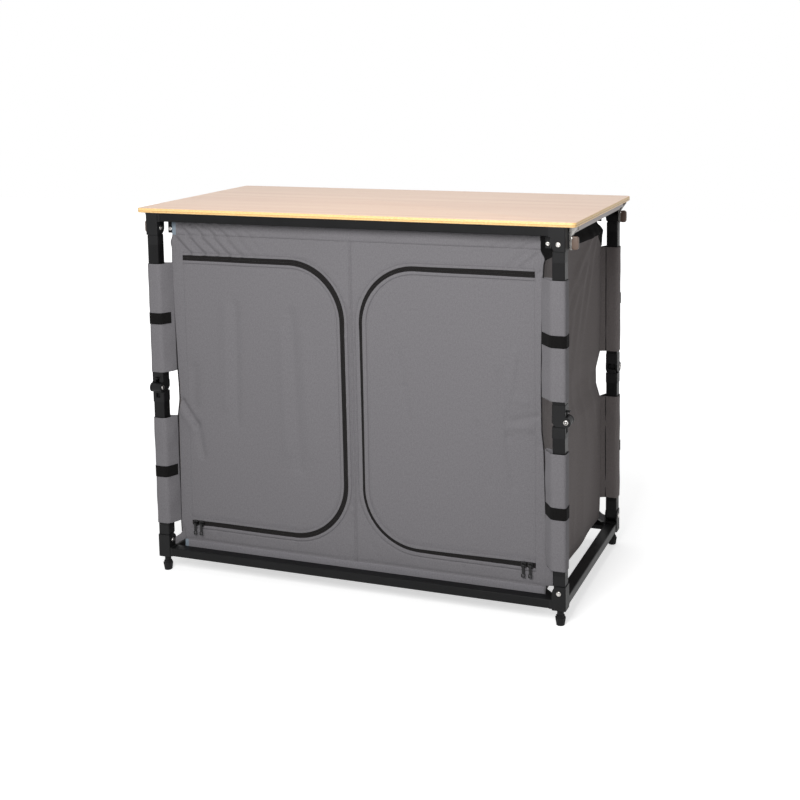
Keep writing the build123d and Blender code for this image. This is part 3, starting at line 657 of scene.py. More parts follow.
def front_relief(x, z):
    """How far the front cloth stands out from its plane, in mm: slow waves, folds from the corners,
    creases, puckers and dips at the seams, all flat at the sliders.
    """
    phase = x[..., None] * wave_numbers[:, 0] + z[..., None] * wave_numbers[:, 1] + wave_starts
    waves = np.sin(phase).sum(-1) * 0.6
    left_top = folds(x, z, 7, (-388, 722), (31, -0.5), -44, 22, 7.0, 1.5, 4.0)
    seam_up = folds(x, z, 9, (11, 716), (0, -73), 35, 13, 4.0, 0.9, 20.0)
    seam_down = folds(x, z, 9, (-11, 688), (0, -73), -35, 13, 4.0, 0.9, 20.0)
    bottom = folds(x, z, 8, (-330, 88), (94, 0), -62, 20, 5, -0.9, 30.0)
    dips = -1.7 * np.exp(-((x / 1.3) ** 2)) * (z > 60)
    dips -= 1.0 * np.exp(-(((z - low_seam_z) / 1.8) ** 2)) + 0.9 * np.exp(-(((z - hem_z + 1.5) / 1.6) ** 2))
    # the cloth is drawn in just beyond the strip sewn along each zip
    off_zip = np.abs(zip_offset(x, z))
    dips -= 1.2 * np.exp(-(((off_zip - placket_outer - 1.2) / 1.3) ** 2)) * (np.abs(x) < door_outer + 3)
    flat = 1 - np.exp(-(((np.abs(x) - 372) / 26) ** 2) - ((z - 106) / 22) ** 2)
    shape = waves + left_top + seam_up + seam_down + bottom + creased(x, z) + puckers(x, z)
    return shape * flat + dips


def on_front(x, z, out=0.0):
    """Points on the front cloth: y is the front plane less the relief and less how far out they stand."""
    return np.stack([x, front_y - front_relief(x, z) - out, z], axis=-1)


probe_x, probe_z = np.meshgrid(np.linspace(-400, 400, 200), np.linspace(60, 760, 200))
probe = front_relief(probe_x, probe_z)
print("relief from", probe.min().round(2), "to", probe.max().round(2), "mm")

# %% [markdown]
# ## The zip's line
# Each door is a D. Its zip starts at the hinge, runs in along the top, turns a quarter circle, comes straight
# down beside the centre seam, turns again and runs back along the bottom. Walking that line and adding up the
# heading gives its points, and everything on the zip is placed by a distance along it and an offset from it.

# %% Zip line
straight = door_outer - door_inner - door_radius
quarter = np.pi / 2 * door_radius
descent = door_top - door_bottom - 2 * door_radius
zip_length = 2 * straight + 2 * quarter + descent


def zip_line(distance, side):
    """Points, outward normals and headings at distances along a zip: the heading turns by distance over
    radius inside each quarter circle, and the points are its running sum.
    """

    def turned(d):
        second_curve = straight + quarter + descent
        curved = np.clip(d - straight, 0, quarter) + np.clip(d - second_curve, 0, quarter)
        return curved / door_radius

    fine = np.linspace(0, zip_length, 4000)
    middle = turned((fine[1:] + fine[:-1]) / 2)
    step = np.diff(fine)
    x = -door_outer + np.concatenate([[0], np.cumsum(step * np.cos(middle))])
    z = door_top - np.concatenate([[0], np.cumsum(step * np.sin(middle))])
    angle = turned(distance)
    points = np.stack([np.interp(distance, fine, x) * -side, np.interp(distance, fine, z)], axis=-1)
    outward = np.stack([np.sin(angle) * -side, np.cos(angle)], axis=-1)
    heading = np.stack([np.cos(angle) * -side, -np.sin(angle)], axis=-1)
    return points, outward, heading


print("zip length", round(zip_length), "mm")

# %% [markdown]
# ## Front cloth round the doors
# The front is one panel with two D-shaped openings. Each half is a ring of strips between its opening and
# its outer edge: for every place on the opening there is one on the outer edge, and the points between are
# shares of the way across. The two halves meet point for point at the centre seam and are welded there.

# %% Front panel
strip_count, zip_count, hinge_count = 32, 480, 190
zip_seam = zip_length - straight - quarter / 2


def front_half(side):
    """Rows run from the opening to the outer edge. Columns run up the hinge side and round the zip; the
    outer edge's corners face the middles of the opening's curves.
    """
    distance = np.linspace(0, zip_length, zip_count)
    opening, outward, _ = zip_line(distance, side)
    opening = opening + coil_room * outward
    knots = [0, straight + quarter / 2, zip_seam, zip_length]
    outer_x = np.interp(
        distance, knots, [side_edge(cloth_top, side), 0, 0, side_edge(cloth_bottom, side)]
    ) * side
    outer_z = np.interp(distance, knots, [cloth_top, cloth_top, cloth_bottom, cloth_bottom])
    share = np.linspace(0, 1, hinge_count)[1:-1]
    hinge = np.stack(
        [np.full_like(share, side * hinge_x), door_bottom + share * (door_top - door_bottom)], axis=-1
    )
    edge_z = cloth_bottom + share * (cloth_top - cloth_bottom)
    edge = np.stack([side * side_edge(edge_z, side), edge_z], axis=-1)
    inner = np.concatenate([opening, hinge])
    outer = np.concatenate([np.stack([outer_x, outer_z], axis=-1), edge])
    across = np.linspace(0, 1, strip_count)[:, None, None]
    place = inner[None] * (1 - across) + outer[None] * across
    quads = grid_quads(strip_count, len(inner), closed=True)
    return faced((on_front(place[..., 0], place[..., 1]).reshape(-1, 3), quads), TO_FRONT)


front_points, front_quads = welded(*stacked([front_half(-1), front_half(1)]))
cabinet_cloth = {"thickness": cloth_thick}
front_shape = (front_points, front_quads)
front_panel = sewn("cabinet_front", front_shape, grey_cloth, replaces=["front_surround"], **cabinet_cloth)


def doors_area():
    """Flat area of the two D openings: the rectangle less what the two rounded corners leave out."""
    rectangle = (door_outer - door_inner) * (door_top - door_bottom)
    return 2 * (rectangle - 2 * (1 - np.pi / 4) * door_radius**2)


print("front of", len(front_points), "points, door openings", round(doors_area() * MM**2, 4), "square metres")

# %% [markdown]
# ## Door cloths
# A door is the D that the front leaves out. Its grid has a column at each distance from the hinge, and each
# column runs between the D's lower and upper edge there. Columns crowd together where the curve turns down,
# by taking even steps of angle instead of distance. The hinge is sewn, so the door meets the front's own
# surface.

# %% Doors
def door_cloth(side, rows=150, straight_columns=76, curve_columns=34):
    """Columns at even distances along the straight part, then at even angles round the corner: x is inner +
    r (1 - sin a), and the half height is full - r (1 - cos a).
    """
    radius = door_radius - coil_room
    inner = door_inner + coil_room
    even = np.linspace(hinge_x, door_inner + door_radius, straight_columns)
    angle = np.linspace(0, np.pi / 2, curve_columns + 1)[1:]
    far = np.concatenate([even, inner + radius * (1 - np.sin(angle))])
    full = (door_top - door_bottom) / 2 - coil_room
    half = np.concatenate([np.full(straight_columns, full), full - radius * (1 - np.cos(angle))])
    share = np.linspace(-1, 1, rows)[:, None]
    x = np.broadcast_to(side * far, (rows, len(far)))
    z = (door_top + door_bottom) / 2 + share * half
    return surface(on_front(x, z), TO_FRONT)


sides = {"left": -1, "right": 1}
for name, side in sides.items():
    door = f"door_{name}"
    sewn(
        f"door_cloth_{name}", door_cloth(side), grey_cloth, door, "door_cloth", replaces=[door],
        **cabinet_cloth
    )

# %% [markdown]
# ## Zips
# These are coil zips sewn in with the coil at the back, so a closed one shows two flat edges of tape that
# meet in a slit. A tape is a small profile carried along the zip's line: it lies on the cloth, turns up at
# its edge, and turns in at the slit. The coil behind is a short rod every 2.2 mm from each side, which pass
# each other as a closed zip's do, and which show when a door hangs open.

# %% Zip tapes and coils
tape_profile = np.array(
    [(0.2, -0.7), (0.2, 0.3), (0.6, 0.5), (2.5, 0.55), (4.6, 0.5), (6.4, 0.4), (7.2, -0.1)]
)
placket_profile = np.array(
    [(5.0, 0.1), (5.05, 0.75), (5.5, 1.0), (7.5, 1.05), (10.2, 0.95)]
    + [(11.2, 0.75), (12.1, 0.7), (12.4, 0.35), (12.5, -0.4)]
)


# how far each zip's facings stand from its slit, in mm, at shares of its length: they were sewn by eye
facing_places = [0.0, 0.17, 0.28, 0.39, 0.62, 0.75, 0.88, 1.0]
facing_gaps = {-1: [5.6, 6.1, 6.4, 4.9, 4.9, 5.5, 5.3, 5.0], 1: [6.2, 5.3, 4.6, 3.0, 2.5, 3.3, 4.4, 5.5]}


def ribbon(side, sign, profile, follows_gap=False, count=420):
    """A profile along a zip: each column is one place on the line moved outwards by the profile's offsets
    and out of the cloth by its outs. A facing's offsets run from its gap to its outer edge.
    """
    distance = np.linspace(0, zip_length, count)
    line, outward, _ = zip_line(distance, side)
    offsets = np.broadcast_to(profile[:, :1], (len(profile), count))
    if follows_gap:
        gap = np.interp(distance / zip_length, facing_places, facing_gaps[side])
        stretch = (placket_outer - gap) / (placket_outer - placket_inner)
        offsets = placket_outer - (placket_outer - offsets) * stretch
    place = line[None] + sign * offsets[..., None] * outward[None]
    points = on_front(place[..., 0], place[..., 1], profile[:, 1:])
    uv = np.stack(np.broadcast_arrays(distance[None], sign * offsets), axis=-1)
    return surface(points, TO_FRONT), uv.reshape(-1, 2)


def rod(length, radius, pinch=0.6):
    """A short rod along x in three square rings, narrower at its ends by the pinch, and a square at each
    end.
    """
    ring = np.array([(1, 1), (-1, 1), (-1, -1), (1, -1)]) / np.sqrt(2)
    size = radius * np.array([pinch, 1, pinch])
    x = np.broadcast_to(length / 2 * np.array([-1, 0, 1])[:, None, None], (3, 4, 1))
    points = np.concatenate([x, size[:, None, None] * ring[None]], axis=-1).reshape(-1, 3)
    quads = np.concatenate([grid_quads(3, 4, closed=True), [[3, 2, 1, 0], [8, 9, 10, 11]]])
    return points, quads


def along_front(place, heading, shape, out):
    """Copies of a small shape at places on the front cloth, its x along each heading and its z out of the
    cloth.
    """
    along = np.stack([heading[:, 0], np.zeros(len(heading)), heading[:, 1]], axis=-1)
    outwards = np.broadcast_to(np.array(TO_FRONT, float), along.shape)
    axes = np.stack([along, np.cross(outwards, along), outwards], axis=1)
    return copies(shape, on_front(place[:, 0], place[:, 1], out), axes)


coil_pitch, tooth_length, tooth_radius = 2.2, 2.4, 0.5


def coil(side, outer):
    """Rods every pitch, across the line; the outer half's rods stand half a pitch on from the inner half's.
    """
    distance = np.arange(4, zip_length - 4, coil_pitch) + (coil_pitch / 2 if outer else 0)
    line, outward, _ = zip_line(distance, side)
    reach = 0.55 if outer else -0.55
    return along_front(line + reach * outward, outward, rod(tooth_length, tooth_radius), -0.45)


zip_parts = {"front": []}
for name, side in sides.items():
    for outer in (True, False):
        sign = 1 if outer else -1
        body = "base" if outer else f"door_{name}"
        label = f"{name}_{'outer' if outer else 'inner'}"
        shape, uv = ribbon(side, sign, tape_profile)
        slot = "grey_cloth" if outer else "door_cloth"
        tape = sewn(f"zip_tape_{label}", shape, zip_tape, body, slot, uv=uv, thickness=0.5)
        teeth = squashed(make(f"zip_coil_{label}", coil(side, outer), zip_coil, body, slot))
        shape, uv = ribbon(side, sign, placket_profile, follows_gap=True)
        strip = sewn(f"zip_facing_{label}", shape, grey_cloth, body, slot, uv=uv, thickness=0.6)
        zip_parts.setdefault("front" if outer else name, []).extend([tape, teeth, strip])

# the strip that each door is hinged on is sewn behind the front's edge, and closes the gap when the door is
# open
for name, side in sides.items():
    across = np.linspace(door_outer - 2.5, door_outer + 9, 6)
    u, v = np.meshgrid(across, np.linspace(door_bottom + 1, door_top - 1, 160))
    shape = surface(on_front(side * u, v, -1.7), TO_FRONT)
    zip_parts["front"].append(sewn(f"hinge_strip_{name}", shape, grey_cloth, thickness=0.9))

# %% [markdown]
# ## Stitches
# Every seam is held by a row of lock stitches about 4 mm apart. One thread is a short pinched rod, pressed
# a little into the cloth. The rows follow both sides of each zip, the top hem, the centre seam and the low
# seam.

# %% Stitch rows
stitch = rod(2.7, 0.34)
stitch_pitch, stitch_out = 4.0, 0.12
facing_out = 0.95


def seam(start, end):
    """Even places along a straight seam from start to end, in (x, z), and its heading."""
    start, end = np.array(start, float), np.array(end, float)
    length = np.linalg.norm(end - start)
    share = np.arange(stitch_pitch / 2, length, stitch_pitch)[:, None] / length
    return start + share * (end - start), np.broadcast_to((end - start) / length, (len(share), 2))


def zip_seam_row(side, offset):
    """Even places along a zip's line, moved outwards by an offset."""
    line, outward, heading = zip_line(np.arange(2, zip_length - 2, stitch_pitch), side)
    return line + offset * outward, heading


front_rows = [
    (*seam((-404, hem_z + 2.2), (396, hem_z + 2.2)), 1.05),
    (*seam((-404, low_seam_z), (402, low_seam_z)), stitch_out),
    (*seam((-3.4, low_seam_z), (-3.4, hem_z)), stitch_out),
    (*seam((3.4, low_seam_z), (3.4, hem_z)), stitch_out),
    (*zip_seam_row(-1, zip_stitch), facing_out),
    (*zip_seam_row(1, zip_stitch), facing_out),
]
front_stitches = stacked([along_front(place, heading, stitch, out) for place, heading, out in front_rows])
zip_parts["front"].append(
    squashed(make("stitches_front", front_stitches, sewing_thread, "base", "grey_cloth"))
)
for name, side in sides.items():
    row = along_front(*zip_seam_row(side, -zip_stitch), stitch, facing_out)
    zip_parts[name].append(
        squashed(make(f"stitches_door_{name}", row, sewing_thread, f"door_{name}", "door_cloth"))
    )

# %% [markdown]
# ## Ends and back
# The two ends and the back hang from the same rails as the front. Each is a sheet whose side edges follow
# the front's: out at the leg flaps, in between them. The ends sag in long slanting folds from the back top
# corner, where each one is held. A black band along the upper edge of an end paints the shade under the
# worktop's overhang, drawn as binding tape. The ends and the back are in a cloth painted warmer for bounced
# light.

# %% Ends and back
back_heights = [46, 75, 118, 345, 380, 415, 452, 675, 700, 714, 727, 742, 771]
back_edge = [418, 420, 421, 421, 413, 412.5, 420, 421, 423, 424, 426.5, 415, 413]
back_inset = [6, 3, 1, 1, 8, 8, 1, 1, 2, 3, 3, 7, 9]


def end_relief(y, z, side):
    """How far an end stands out: slow waves, and long folds that slant down and forward from its back top
    corner.
    """
    waves = 1.3 * np.sin(0.021 * y + 0.006 * z + side) + 0.9 * np.sin(0.043 * y - 0.011 * z)
    slants = folds(y, z, 3, (120, 640), (-62, -40), 68, 120, 13, 3.4, 3.0)
    slants += folds(y, z, 2, (70, 690), (-20, -60), 38, 150, 13, 3.2, 3.0)
    slants += folds(y, z, 3, (150, 330), (-70, 20), -74, 90, 12, 2.2, 3.0)
    slants += folds(y, z, 4, (-150, 120), (70, 8), 84, 50, 12, 1.6, 5.0)
    hem = 0.8 / (1 + np.exp(-(z - hem_z) / 1.5)) - 0.8 * np.exp(-(((z - hem_z + 2) / 2.2) ** 2))
    return waves + slants + hem


def end_surface(side, share, z):
    """A place on an end: share of the way from the front edge to the back edge at height z, moved out by
    the relief, which dies away at both edges.
    """
    front_x = side_edge(z, side)
    back_x = np.interp(z, back_heights, back_edge)
    inset = np.interp(z, back_heights, back_inset)
    y = (front_y + 0.8) * (1 - share) + (back_y - inset) * share
    x = front_x * (1 - share) + back_x * share
    held = np.clip(share / 0.08, 0, 1) * np.clip((1 - share) / 0.06, 0, 1)
    return np.stack([side * (x + held * end_relief(y, z, side)), y, z], axis=-1)


def end_bottom(share):
    """The lower edge of an end hangs lowest at the front: a straight line up to the back, and a sag of half
    a sine between.
    """
    return 57 + 9 * share - 3 * np.sin(np.pi * share)


def end_top(share):
    """The upper edge of an end, cut down in a straight line near its back corner."""
    return cloth_top - 5 - np.clip((share - 0.9) / 0.1, 0, 1) * 30


def sheet_grid(rows, columns):
    """Two arrays of shares from 0 to 1, down the rows and across the columns."""
    return np.meshgrid(np.linspace(0, 1, rows), np.linspace(0, 1, columns), indexing="ij")


ends, end_trims = {}, {}
binding_and_shade_tall = 46
for name, side in sides.items():
    up_share, share = sheet_grid(150, 90)
    z = end_bottom(share) + up_share * (end_top(share) - end_bottom(share))
    points = end_surface(side, share, z)
    shape = surface(points, (side, 0, 0))
    stands_for = ["cabinet_walls"] if side < 0 else ()
    # each end's cloth carries the painted warm light
    ends[name] = sewn(
        f"cabinet_end_{name}", shape, cloth_painted_warm, flat=(1, 2), replaces=stands_for, **cabinet_cloth
    )
    # the black band along the end's top: painted shade under the worktop's overhang, drawn as binding tape
    across, share = sheet_grid(9, 90)
    band = end_surface(side, share, end_top(share) + 1 - across * binding_and_shade_tall)
    band[..., 0] += side * 1.2
    shape = surface(band, (side, 0, 0))
    end_trims[name] = [sewn(f"end_binding_{name}", shape, strap_tape, flat=(1, 2), thickness=0.8)]

back_bottom = 66
up_share, share = sheet_grid(130, 160)
z = back_bottom + up_share * (cloth_top - back_bottom)
half = np.interp(z, back_heights, back_edge) - 0.5
x = half * (2 * share - 1)
inset = np.interp(z, back_heights, back_inset) * np.abs(2 * share - 1) ** 6
sag = 1.1 * np.sin(0.017 * x + 1) * np.sin(0.009 * z)
sag = sag + folds(x, z, 5, (-330, 690), (165, 0), -80, 80, 16, 1.5, 9.0)
sag -= 0.7 * np.exp(-(((z - hem_z) / 2.2) ** 2)) + 0.7 * np.exp(-(((z - low_seam_z) / 2.2) ** 2))
y = back_y - 0.6 - inset + np.clip(sag, -1.6, 1.2) * (1 - np.abs(2 * share - 1) ** 8)
shape = surface(np.stack([x, y, z], axis=-1), TO_BACK)
# the back's cloth carries the painted warm light too
back_panel = sewn("cabinet_back", shape, cloth_painted_warm, **cabinet_cloth)

# %% [markdown]
# ## Inside the cabinet
# A cloth divider hangs down the middle, and each half has a shelf: a thin board in a cloth sleeve. They show
# when a door is open. A shelf is a slab like the worktop with softer edges.

# %% Divider and shelves
inside_front, inside_back = wall_low[1] + 3, back_y - 4.5
up_share, share = sheet_grid(60, 50)
y = inside_front + share * (inside_back - inside_front)
z = floor_high[2] + 1 + up_share * (cloth_top - 6 - floor_high[2])
x = 2.0 * np.sin(0.02 * y) * np.sin(0.008 * z) * np.sin(np.pi * share)
shape = surface(np.stack([x, y, z], axis=-1), (1, 0, 0))
divider = sewn(
    "cabinet_divider", shape, grey_cloth, flat=(1, 2), replaces=["inner_shelves"], **cabinet_cloth
)
# the board in the cabinet's floor, inside the cloth on all sides
outline, normals = rounded_rectangle(405.0, 203.0, 10.0, 6)
(points, quads), floor_caps = slab(outline, normals, floor_low[2], floor_high[2], 1.5, 4)
squashed(
    make(
        "cabinet_floor", (points, quads), covered_board, "base", "board", caps=floor_caps,
        replaces=["floor_board"],
    )
)
shelf_z = 398.0
shelf_shapes, shelf_caps = [], []
for side in (-1, 1):
    shelf_inner, shelf_outer, shelf_back = 3.5, 394.0, inside_back - 7
    outline, normals = rounded_rectangle(
        (shelf_outer - shelf_inner) / 2, (shelf_back - inside_front) / 2, 4.0, 5
    )
    outline = outline + np.array([side * (shelf_outer + shelf_inner) / 2, (shelf_back + inside_front) / 2])
    (points, quads), caps = slab(outline, normals, shelf_z, shelf_z + 4.0, 1.5, 4)
    shelf_caps += [cap + sum(len(p) for p, _ in shelf_shapes) for cap in caps]
    shelf_shapes.append((points, quads))
squashed(make("cabinet_shelves", stacked(shelf_shapes), covered_board, "base", "board", caps=shelf_caps))

# %% [markdown]
# ## Leg flaps and straps
# A flap of the cabinet's cloth wraps each leg above and below its knee. It leaves the cabinet's corner,
# goes round the square tube and comes back on itself, and a hook-and-loop strap holds it shut. The flap's
# section is a path of straight runs whose corners are rounded; the strap is the same path a little further
# out.

# %% Flaps and straps
def rounded_path(corners, radius, per_corner=6, per_run=12):
    """Straight runs joined by curves. At each inner corner the curve is a quadratic from a radius before it
    to a radius after it, p = (1-t)^2 a + 2t(1-t) c + t^2 b.
    """
    corners = np.array(corners, float)
    ahead_of = unit(corners[1:] - corners[:-1])
    before = corners[1:-1] - radius * ahead_of[:-1]
    after = corners[1:-1] + radius * ahead_of[1:]
    t = np.linspace(0, 1, per_corner)[None, :, None]
    curves = (1 - t) ** 2 * before[:, None] + 2 * t * (1 - t) * corners[1:-1][:, None] + t**2 * after[:, None]
    starts = np.concatenate([corners[:1], after])
    finishes = np.concatenate([before, corners[-1:]])
    share = np.linspace(0, 1, per_run)[None, :, None]
    runs = starts[:, None] * (1 - share) + finishes[:, None] * share
    pieces = [runs[0]]
    for curve, run in zip(curves, runs[1:]):
        pieces += [curve[1:-1], run]
    path = np.concatenate(pieces)
    length = np.concatenate([[0], np.cumsum(np.linalg.norm(np.diff(path, axis=0), axis=1))])
    return path, length


def path_normals(path):
    """Outward normals of a path in plan: its direction turned a right angle to the left."""
    direction = unit(np.gradient(path, axis=0))
    return np.stack([direction[:, 1], -direction[:, 0]], axis=-1)


def bead(path, radius, count=8):
    """A closed tube of a small radius along a path in space: rings in the plane across the path, built on a
    fixed reference direction.
    """
    direction = unit(np.gradient(path, axis=0))
    reference = np.array([0.3, 1.0, 0.2])
    first = unit(np.cross(direction, reference))
    second = np.cross(direction, first)
    angle = np.linspace(0, 2 * np.pi, count, endpoint=False)[None, :, None]
    ring = path[:, None] + radius * (np.cos(angle) * first[:, None] + np.sin(angle) * second[:, None])
    quads = grid_quads(len(path), count, closed=True)[:, ::-1]
    caps = [np.arange(count), (np.arange(count) + (len(path) - 1) * count)[::-1]]
    return (ring.reshape(-1, 3), quads), caps


flap_half, flap_tall = 14.6, 235.0
strap_tall, strap_out = 24.0, 1.1
flap_low = {"lower": 113.5, "upper": 452.5}
strap_centre = {"lower": 229.5, "upper": 569.5}
# the flaps of the front left leg have slipped a little down it
slipped = {"upper_fl": -7.0, "lower_fl": -4.0}
# and its straps stop short of the cabinet
strap_short = {"upper_fl": 0.28, "lower_fl": 0.14}


def flap_corners(side, facing, edge):
    """The flap's section at one leg: from the cabinet's corner round the tube's outer and inner faces and
    back to just behind the corner.
    """
    inner, outer = side * (leg_x - flap_half), side * (leg_x + flap_half)
    near, far = facing * (leg_y - flap_half), facing * (leg_y + flap_half)
    corner_y = facing * (abs(front_y) + 1.0)
    return [
        (side * edge, corner_y), (inner, far), (outer, far), (outer, near), (inner, near),
        (side * (edge + 0.5), corner_y - facing * 4),
    ]


def wrapped(side, facing, edge, z, out, puff, corner_count=6, short=0.0):
    """Rows of points up a flap: the section, which may start a share short of the cabinet, moved outwards
    by out, and by a swelling of the cloth away from its strap that also ripples with height.
    """
    corners = np.array(flap_corners(side, facing, edge)[:corner_count])
    corners[0] += short * (corners[1] - corners[0])
    path, length = rounded_path(corners, 7.0)
    normal = path_normals(path) * -side * facing
    free = 1 - np.exp(-(((z - z.mean()) / 30) ** 2))
    web = np.exp(-((length - 14) / 12) ** 2) + 0.35
    ripple = np.sin(z * 0.09 + side) + 0.6 * np.sin(z * 0.047 + facing)
    swell = out + puff * free[:, None] * (0.7 + 0.5 * ripple[:, None]) * web[None]
    place = path[None] + swell[..., None] * normal[None]
    points = np.concatenate([place, np.broadcast_to(z[:, None, None], (*place.shape[:2], 1))], axis=-1)
    uv = np.stack(np.broadcast_arrays(length[None], z[:, None]), axis=-1)
    return (points.reshape(-1, 3), grid_quads(len(z), len(path))), uv.reshape(-1, 2), length[-1]


def outside(shape, centre):
    """An open surface round a leg turned so that its faces look away from the leg's axis."""
    points, quads = shape
    p = points[quads]
    normal = np.cross(p[:, 2] - p[:, 0], p[:, 3] - p[:, 1])
    away = p.mean(1)[:, :2] - centre
    return points, quads if (normal[:, :2] * away).sum() > 0 else quads[:, ::-1]


corners_of = {"fl": (-1, -1), "bl": (-1, 1), "br": (1, 1), "fr": (1, -1)}
flaps = []
for corner, (side, facing) in corners_of.items():
    for part in ("lower", "upper"):
        low = flap_low[part] + slipped.get(f"{part}_{corner}", 0)
        centre_z = strap_centre[part] + slipped.get(f"{part}_{corner}", 0)
        if facing < 0:
            edge = side_edge(np.array(centre_z), side) + 0.6
        else:
            edge = np.interp(centre_z, back_heights, back_edge) - 2.5
        z = np.linspace(low, low + flap_tall, 60)
        shape, uv, around = wrapped(side, facing, edge, z, 0.0, 1.5)
        body = f"{part}_leg_{corner}"
        centre = np.array([side * leg_x, facing * leg_y])
        # the back flaps take the cloth with painted warm light
        cloth = grey_cloth if facing < 0 else cloth_painted_warm
        flap = make(
            f"flap_{part}_{corner}", outside(shape, centre), cloth, body, "strap_cloth",
            uv=uv, replaces=[f"{part}_wrap_{corner}"], thickness=1.0,
        )
        z = np.linspace(centre_z - strap_tall / 2, centre_z + strap_tall / 2, 10)
        # a front strap goes right round the leg; a back one only crosses its back face
        short = strap_short.get(f"{part}_{corner}", 0.03)
        shape, uv, strap_around = wrapped(
            side, facing, edge, z, strap_out, 0.0, 6 if facing < 0 else 3, short
        )
        strap = make(
            f"strap_{part}_{corner}", outside(shape, centre), strap_tape, body, "strap_cloth", uv=uv,
            thickness=0.9,
        )
        # along the flap's fold against the tube a black bead paints the shade of the gap; it is made on the
        # two back legs only
        edge_z = np.linspace(low + 1, low + flap_tall - 1, 40)
        edge_x, edge_y = side * (leg_x - flap_half + 2.0), facing * (leg_y - flap_half - 0.2)
        path = np.stack([np.full_like(edge_z, edge_x), np.full_like(edge_z, edge_y), edge_z], axis=-1)
        shape, caps = bead(path, 1.0)
        cords = []
        if facing > 0:
            cords = [make(f"flap_piping_{part}_{corner}", shape, piping_and_gap_shade, body, "strap_cloth", caps=caps)]
        flaps.append((flap, strap, around * MM, strap_around * MM, cords))
print("flap section", round(around), "mm round, strap", round(strap_around))

# %% [markdown]
# ## Edges and tabs of the cabinet
# The seam between the front and each end is bound with a folded strip that stands proud as a thin pale
# bead. The hem along the bottom is doubled, in a copy of the cloth painted lighter for the light on it;
# the hems end in a bluish bound edge, and a tab at each lower corner loops out round the frame's corner and
# keeps the cabinet square. A black strip behind each tab paints the shade inside the corner.

# %% Edges and tabs
heights = np.linspace(cloth_bottom + 1, cloth_top - 1, 220)
for name, side in sides.items():
    edge_x = side * (side_edge(heights, side) + 0.3)
    path = np.stack([edge_x, np.full_like(heights, front_y + 0.3), heights], axis=-1)
    shape, caps = bead(path, 1.3)
    squashed(make(f"corner_bead_{name}", shape, piping_and_gap_shade, "base", "grey_cloth", caps=caps))

# the doubled hem along the bottom of the front, in the cloth painted lighter: painted light
low_x, across_z = np.meshgrid(np.linspace(-406, 407, 300), np.linspace(cloth_bottom, 66, 8))
hem = surface(on_front(low_x, across_z, 0.9), TO_FRONT)
zip_parts["front"].append(sewn("hem_bottom", hem, hem_cloth_painted_lighter, thickness=0.7))
# the top hem is a tunnel sewn along its lower edge, which the hangers' rail runs in
share_x, share_z = np.meshgrid(np.linspace(-1, 1, 420), np.linspace(0, 1, 16))
tunnel_z = hem_z + share_z * (cloth_top - hem_z)
tunnel_x = np.where(share_x < 0, side_edge(tunnel_z, -1), side_edge(tunnel_z, 1)) * share_x
tunnel_out = 0.9 + 0.9 * np.sin(np.pi * np.clip(share_z, 0, 1)) ** 0.7
tunnel = surface(on_front(tunnel_x, tunnel_z, tunnel_out), TO_FRONT)
zip_parts["front"].append(sewn("hem_top", tunnel, grey_cloth, thickness=0.8))
# bluish bound ends of the hems
ends_of_hems = [((-412.5, 741), (-404, 769)), ((-409, 48), (-401.5, 67))]
for number, ((x0, z0), (x1, z1)) in enumerate(ends_of_hems):
    u, v = np.meshgrid(np.linspace(x0, x1, 5), np.linspace(z0, z1, 9))
    shape = surface(on_front(u, v, 2.0 if z0 > low_seam_z else 1.5), TO_FRONT)
    zip_parts["front"].append(sewn(f"hem_end_{number}", shape, reflective_tape, thickness=0.6))

tabs = []
# the front right tab is sewn higher than the others
tab_rise = {"fr": (34.0, 12.0)}
for corner, (side, facing) in corners_of.items():
    rise_top, rise_low = tab_rise.get(corner, (0.0, 0.0))
    # the upper edge is a quadratic curve from the cabinet's edge down and out to the corner; the lower one
    # is straight
    share, u = sheet_grid(9, 16)
    upper_x = (1 - u) ** 2 * 411 + 2 * u * (1 - u) * 416 + u**2 * 433
    upper_z = (1 - u) ** 2 * 100 + 2 * u * (1 - u) * 74 + u**2 * 70 + rise_top * (0.45 + 0.55 * u)
    lower_x, lower_z = 408 + 23 * u, 68 - 15 * u + rise_low * u * 1.6
    x = side * (lower_x * (1 - share) + upper_x * share)
    z = lower_z * (1 - share) + upper_z * share
    y = facing * (abs(front_y) + 1.4 + 5 * u**2 + 1.2 * np.sin(np.pi * share) * u)
    shape = surface(np.stack([x, y, z], axis=-1), (0, facing, 0))
    tabs.append(sewn(f"corner_tab_{corner}", shape, grey_cloth, **cabinet_cloth))
    # a black strip behind the tab fills the dark inside the lower corner: painted shade, drawn as webbing
    x = side * (404 + 24 * u)
    z = 47 + 20 * share * (1 - 0.75 * u)
    y = np.broadcast_to(facing * (abs(front_y) - 0.6), x.shape)
    shape = surface(np.stack([x, y, z], axis=-1), (0, facing, 0))
    tabs.append(sewn(f"corner_webbing_{corner}", shape, strap_tape, thickness=0.8))

# %% [markdown]
# ## Rivets and screws
# The corners and knees turn on plain steel rivets with domed heads, bright where the black has worn off
# them, and each cabinet hanger is held by a pan-head screw. Each is a turned profile; where two rings meet
# on the axis they are welded to a point.

# %% Rivets and screws
def turned_on_x(profile, count=20):
    """A profile of (along, radius) pairs turned about the x axis."""
    along, radius = np.array(profile, float).T
    angle = np.linspace(0, 2 * np.pi, count, endpoint=False)
    points = np.stack(
        [
            np.broadcast_to(along[:, None], (len(along), count)),
            radius[:, None] * np.cos(angle),
            radius[:, None] * np.sin(angle),
        ],
        axis=-1,
    )
    return points.reshape(-1, 3), grid_quads(len(along), count, closed=True)[:, ::-1]


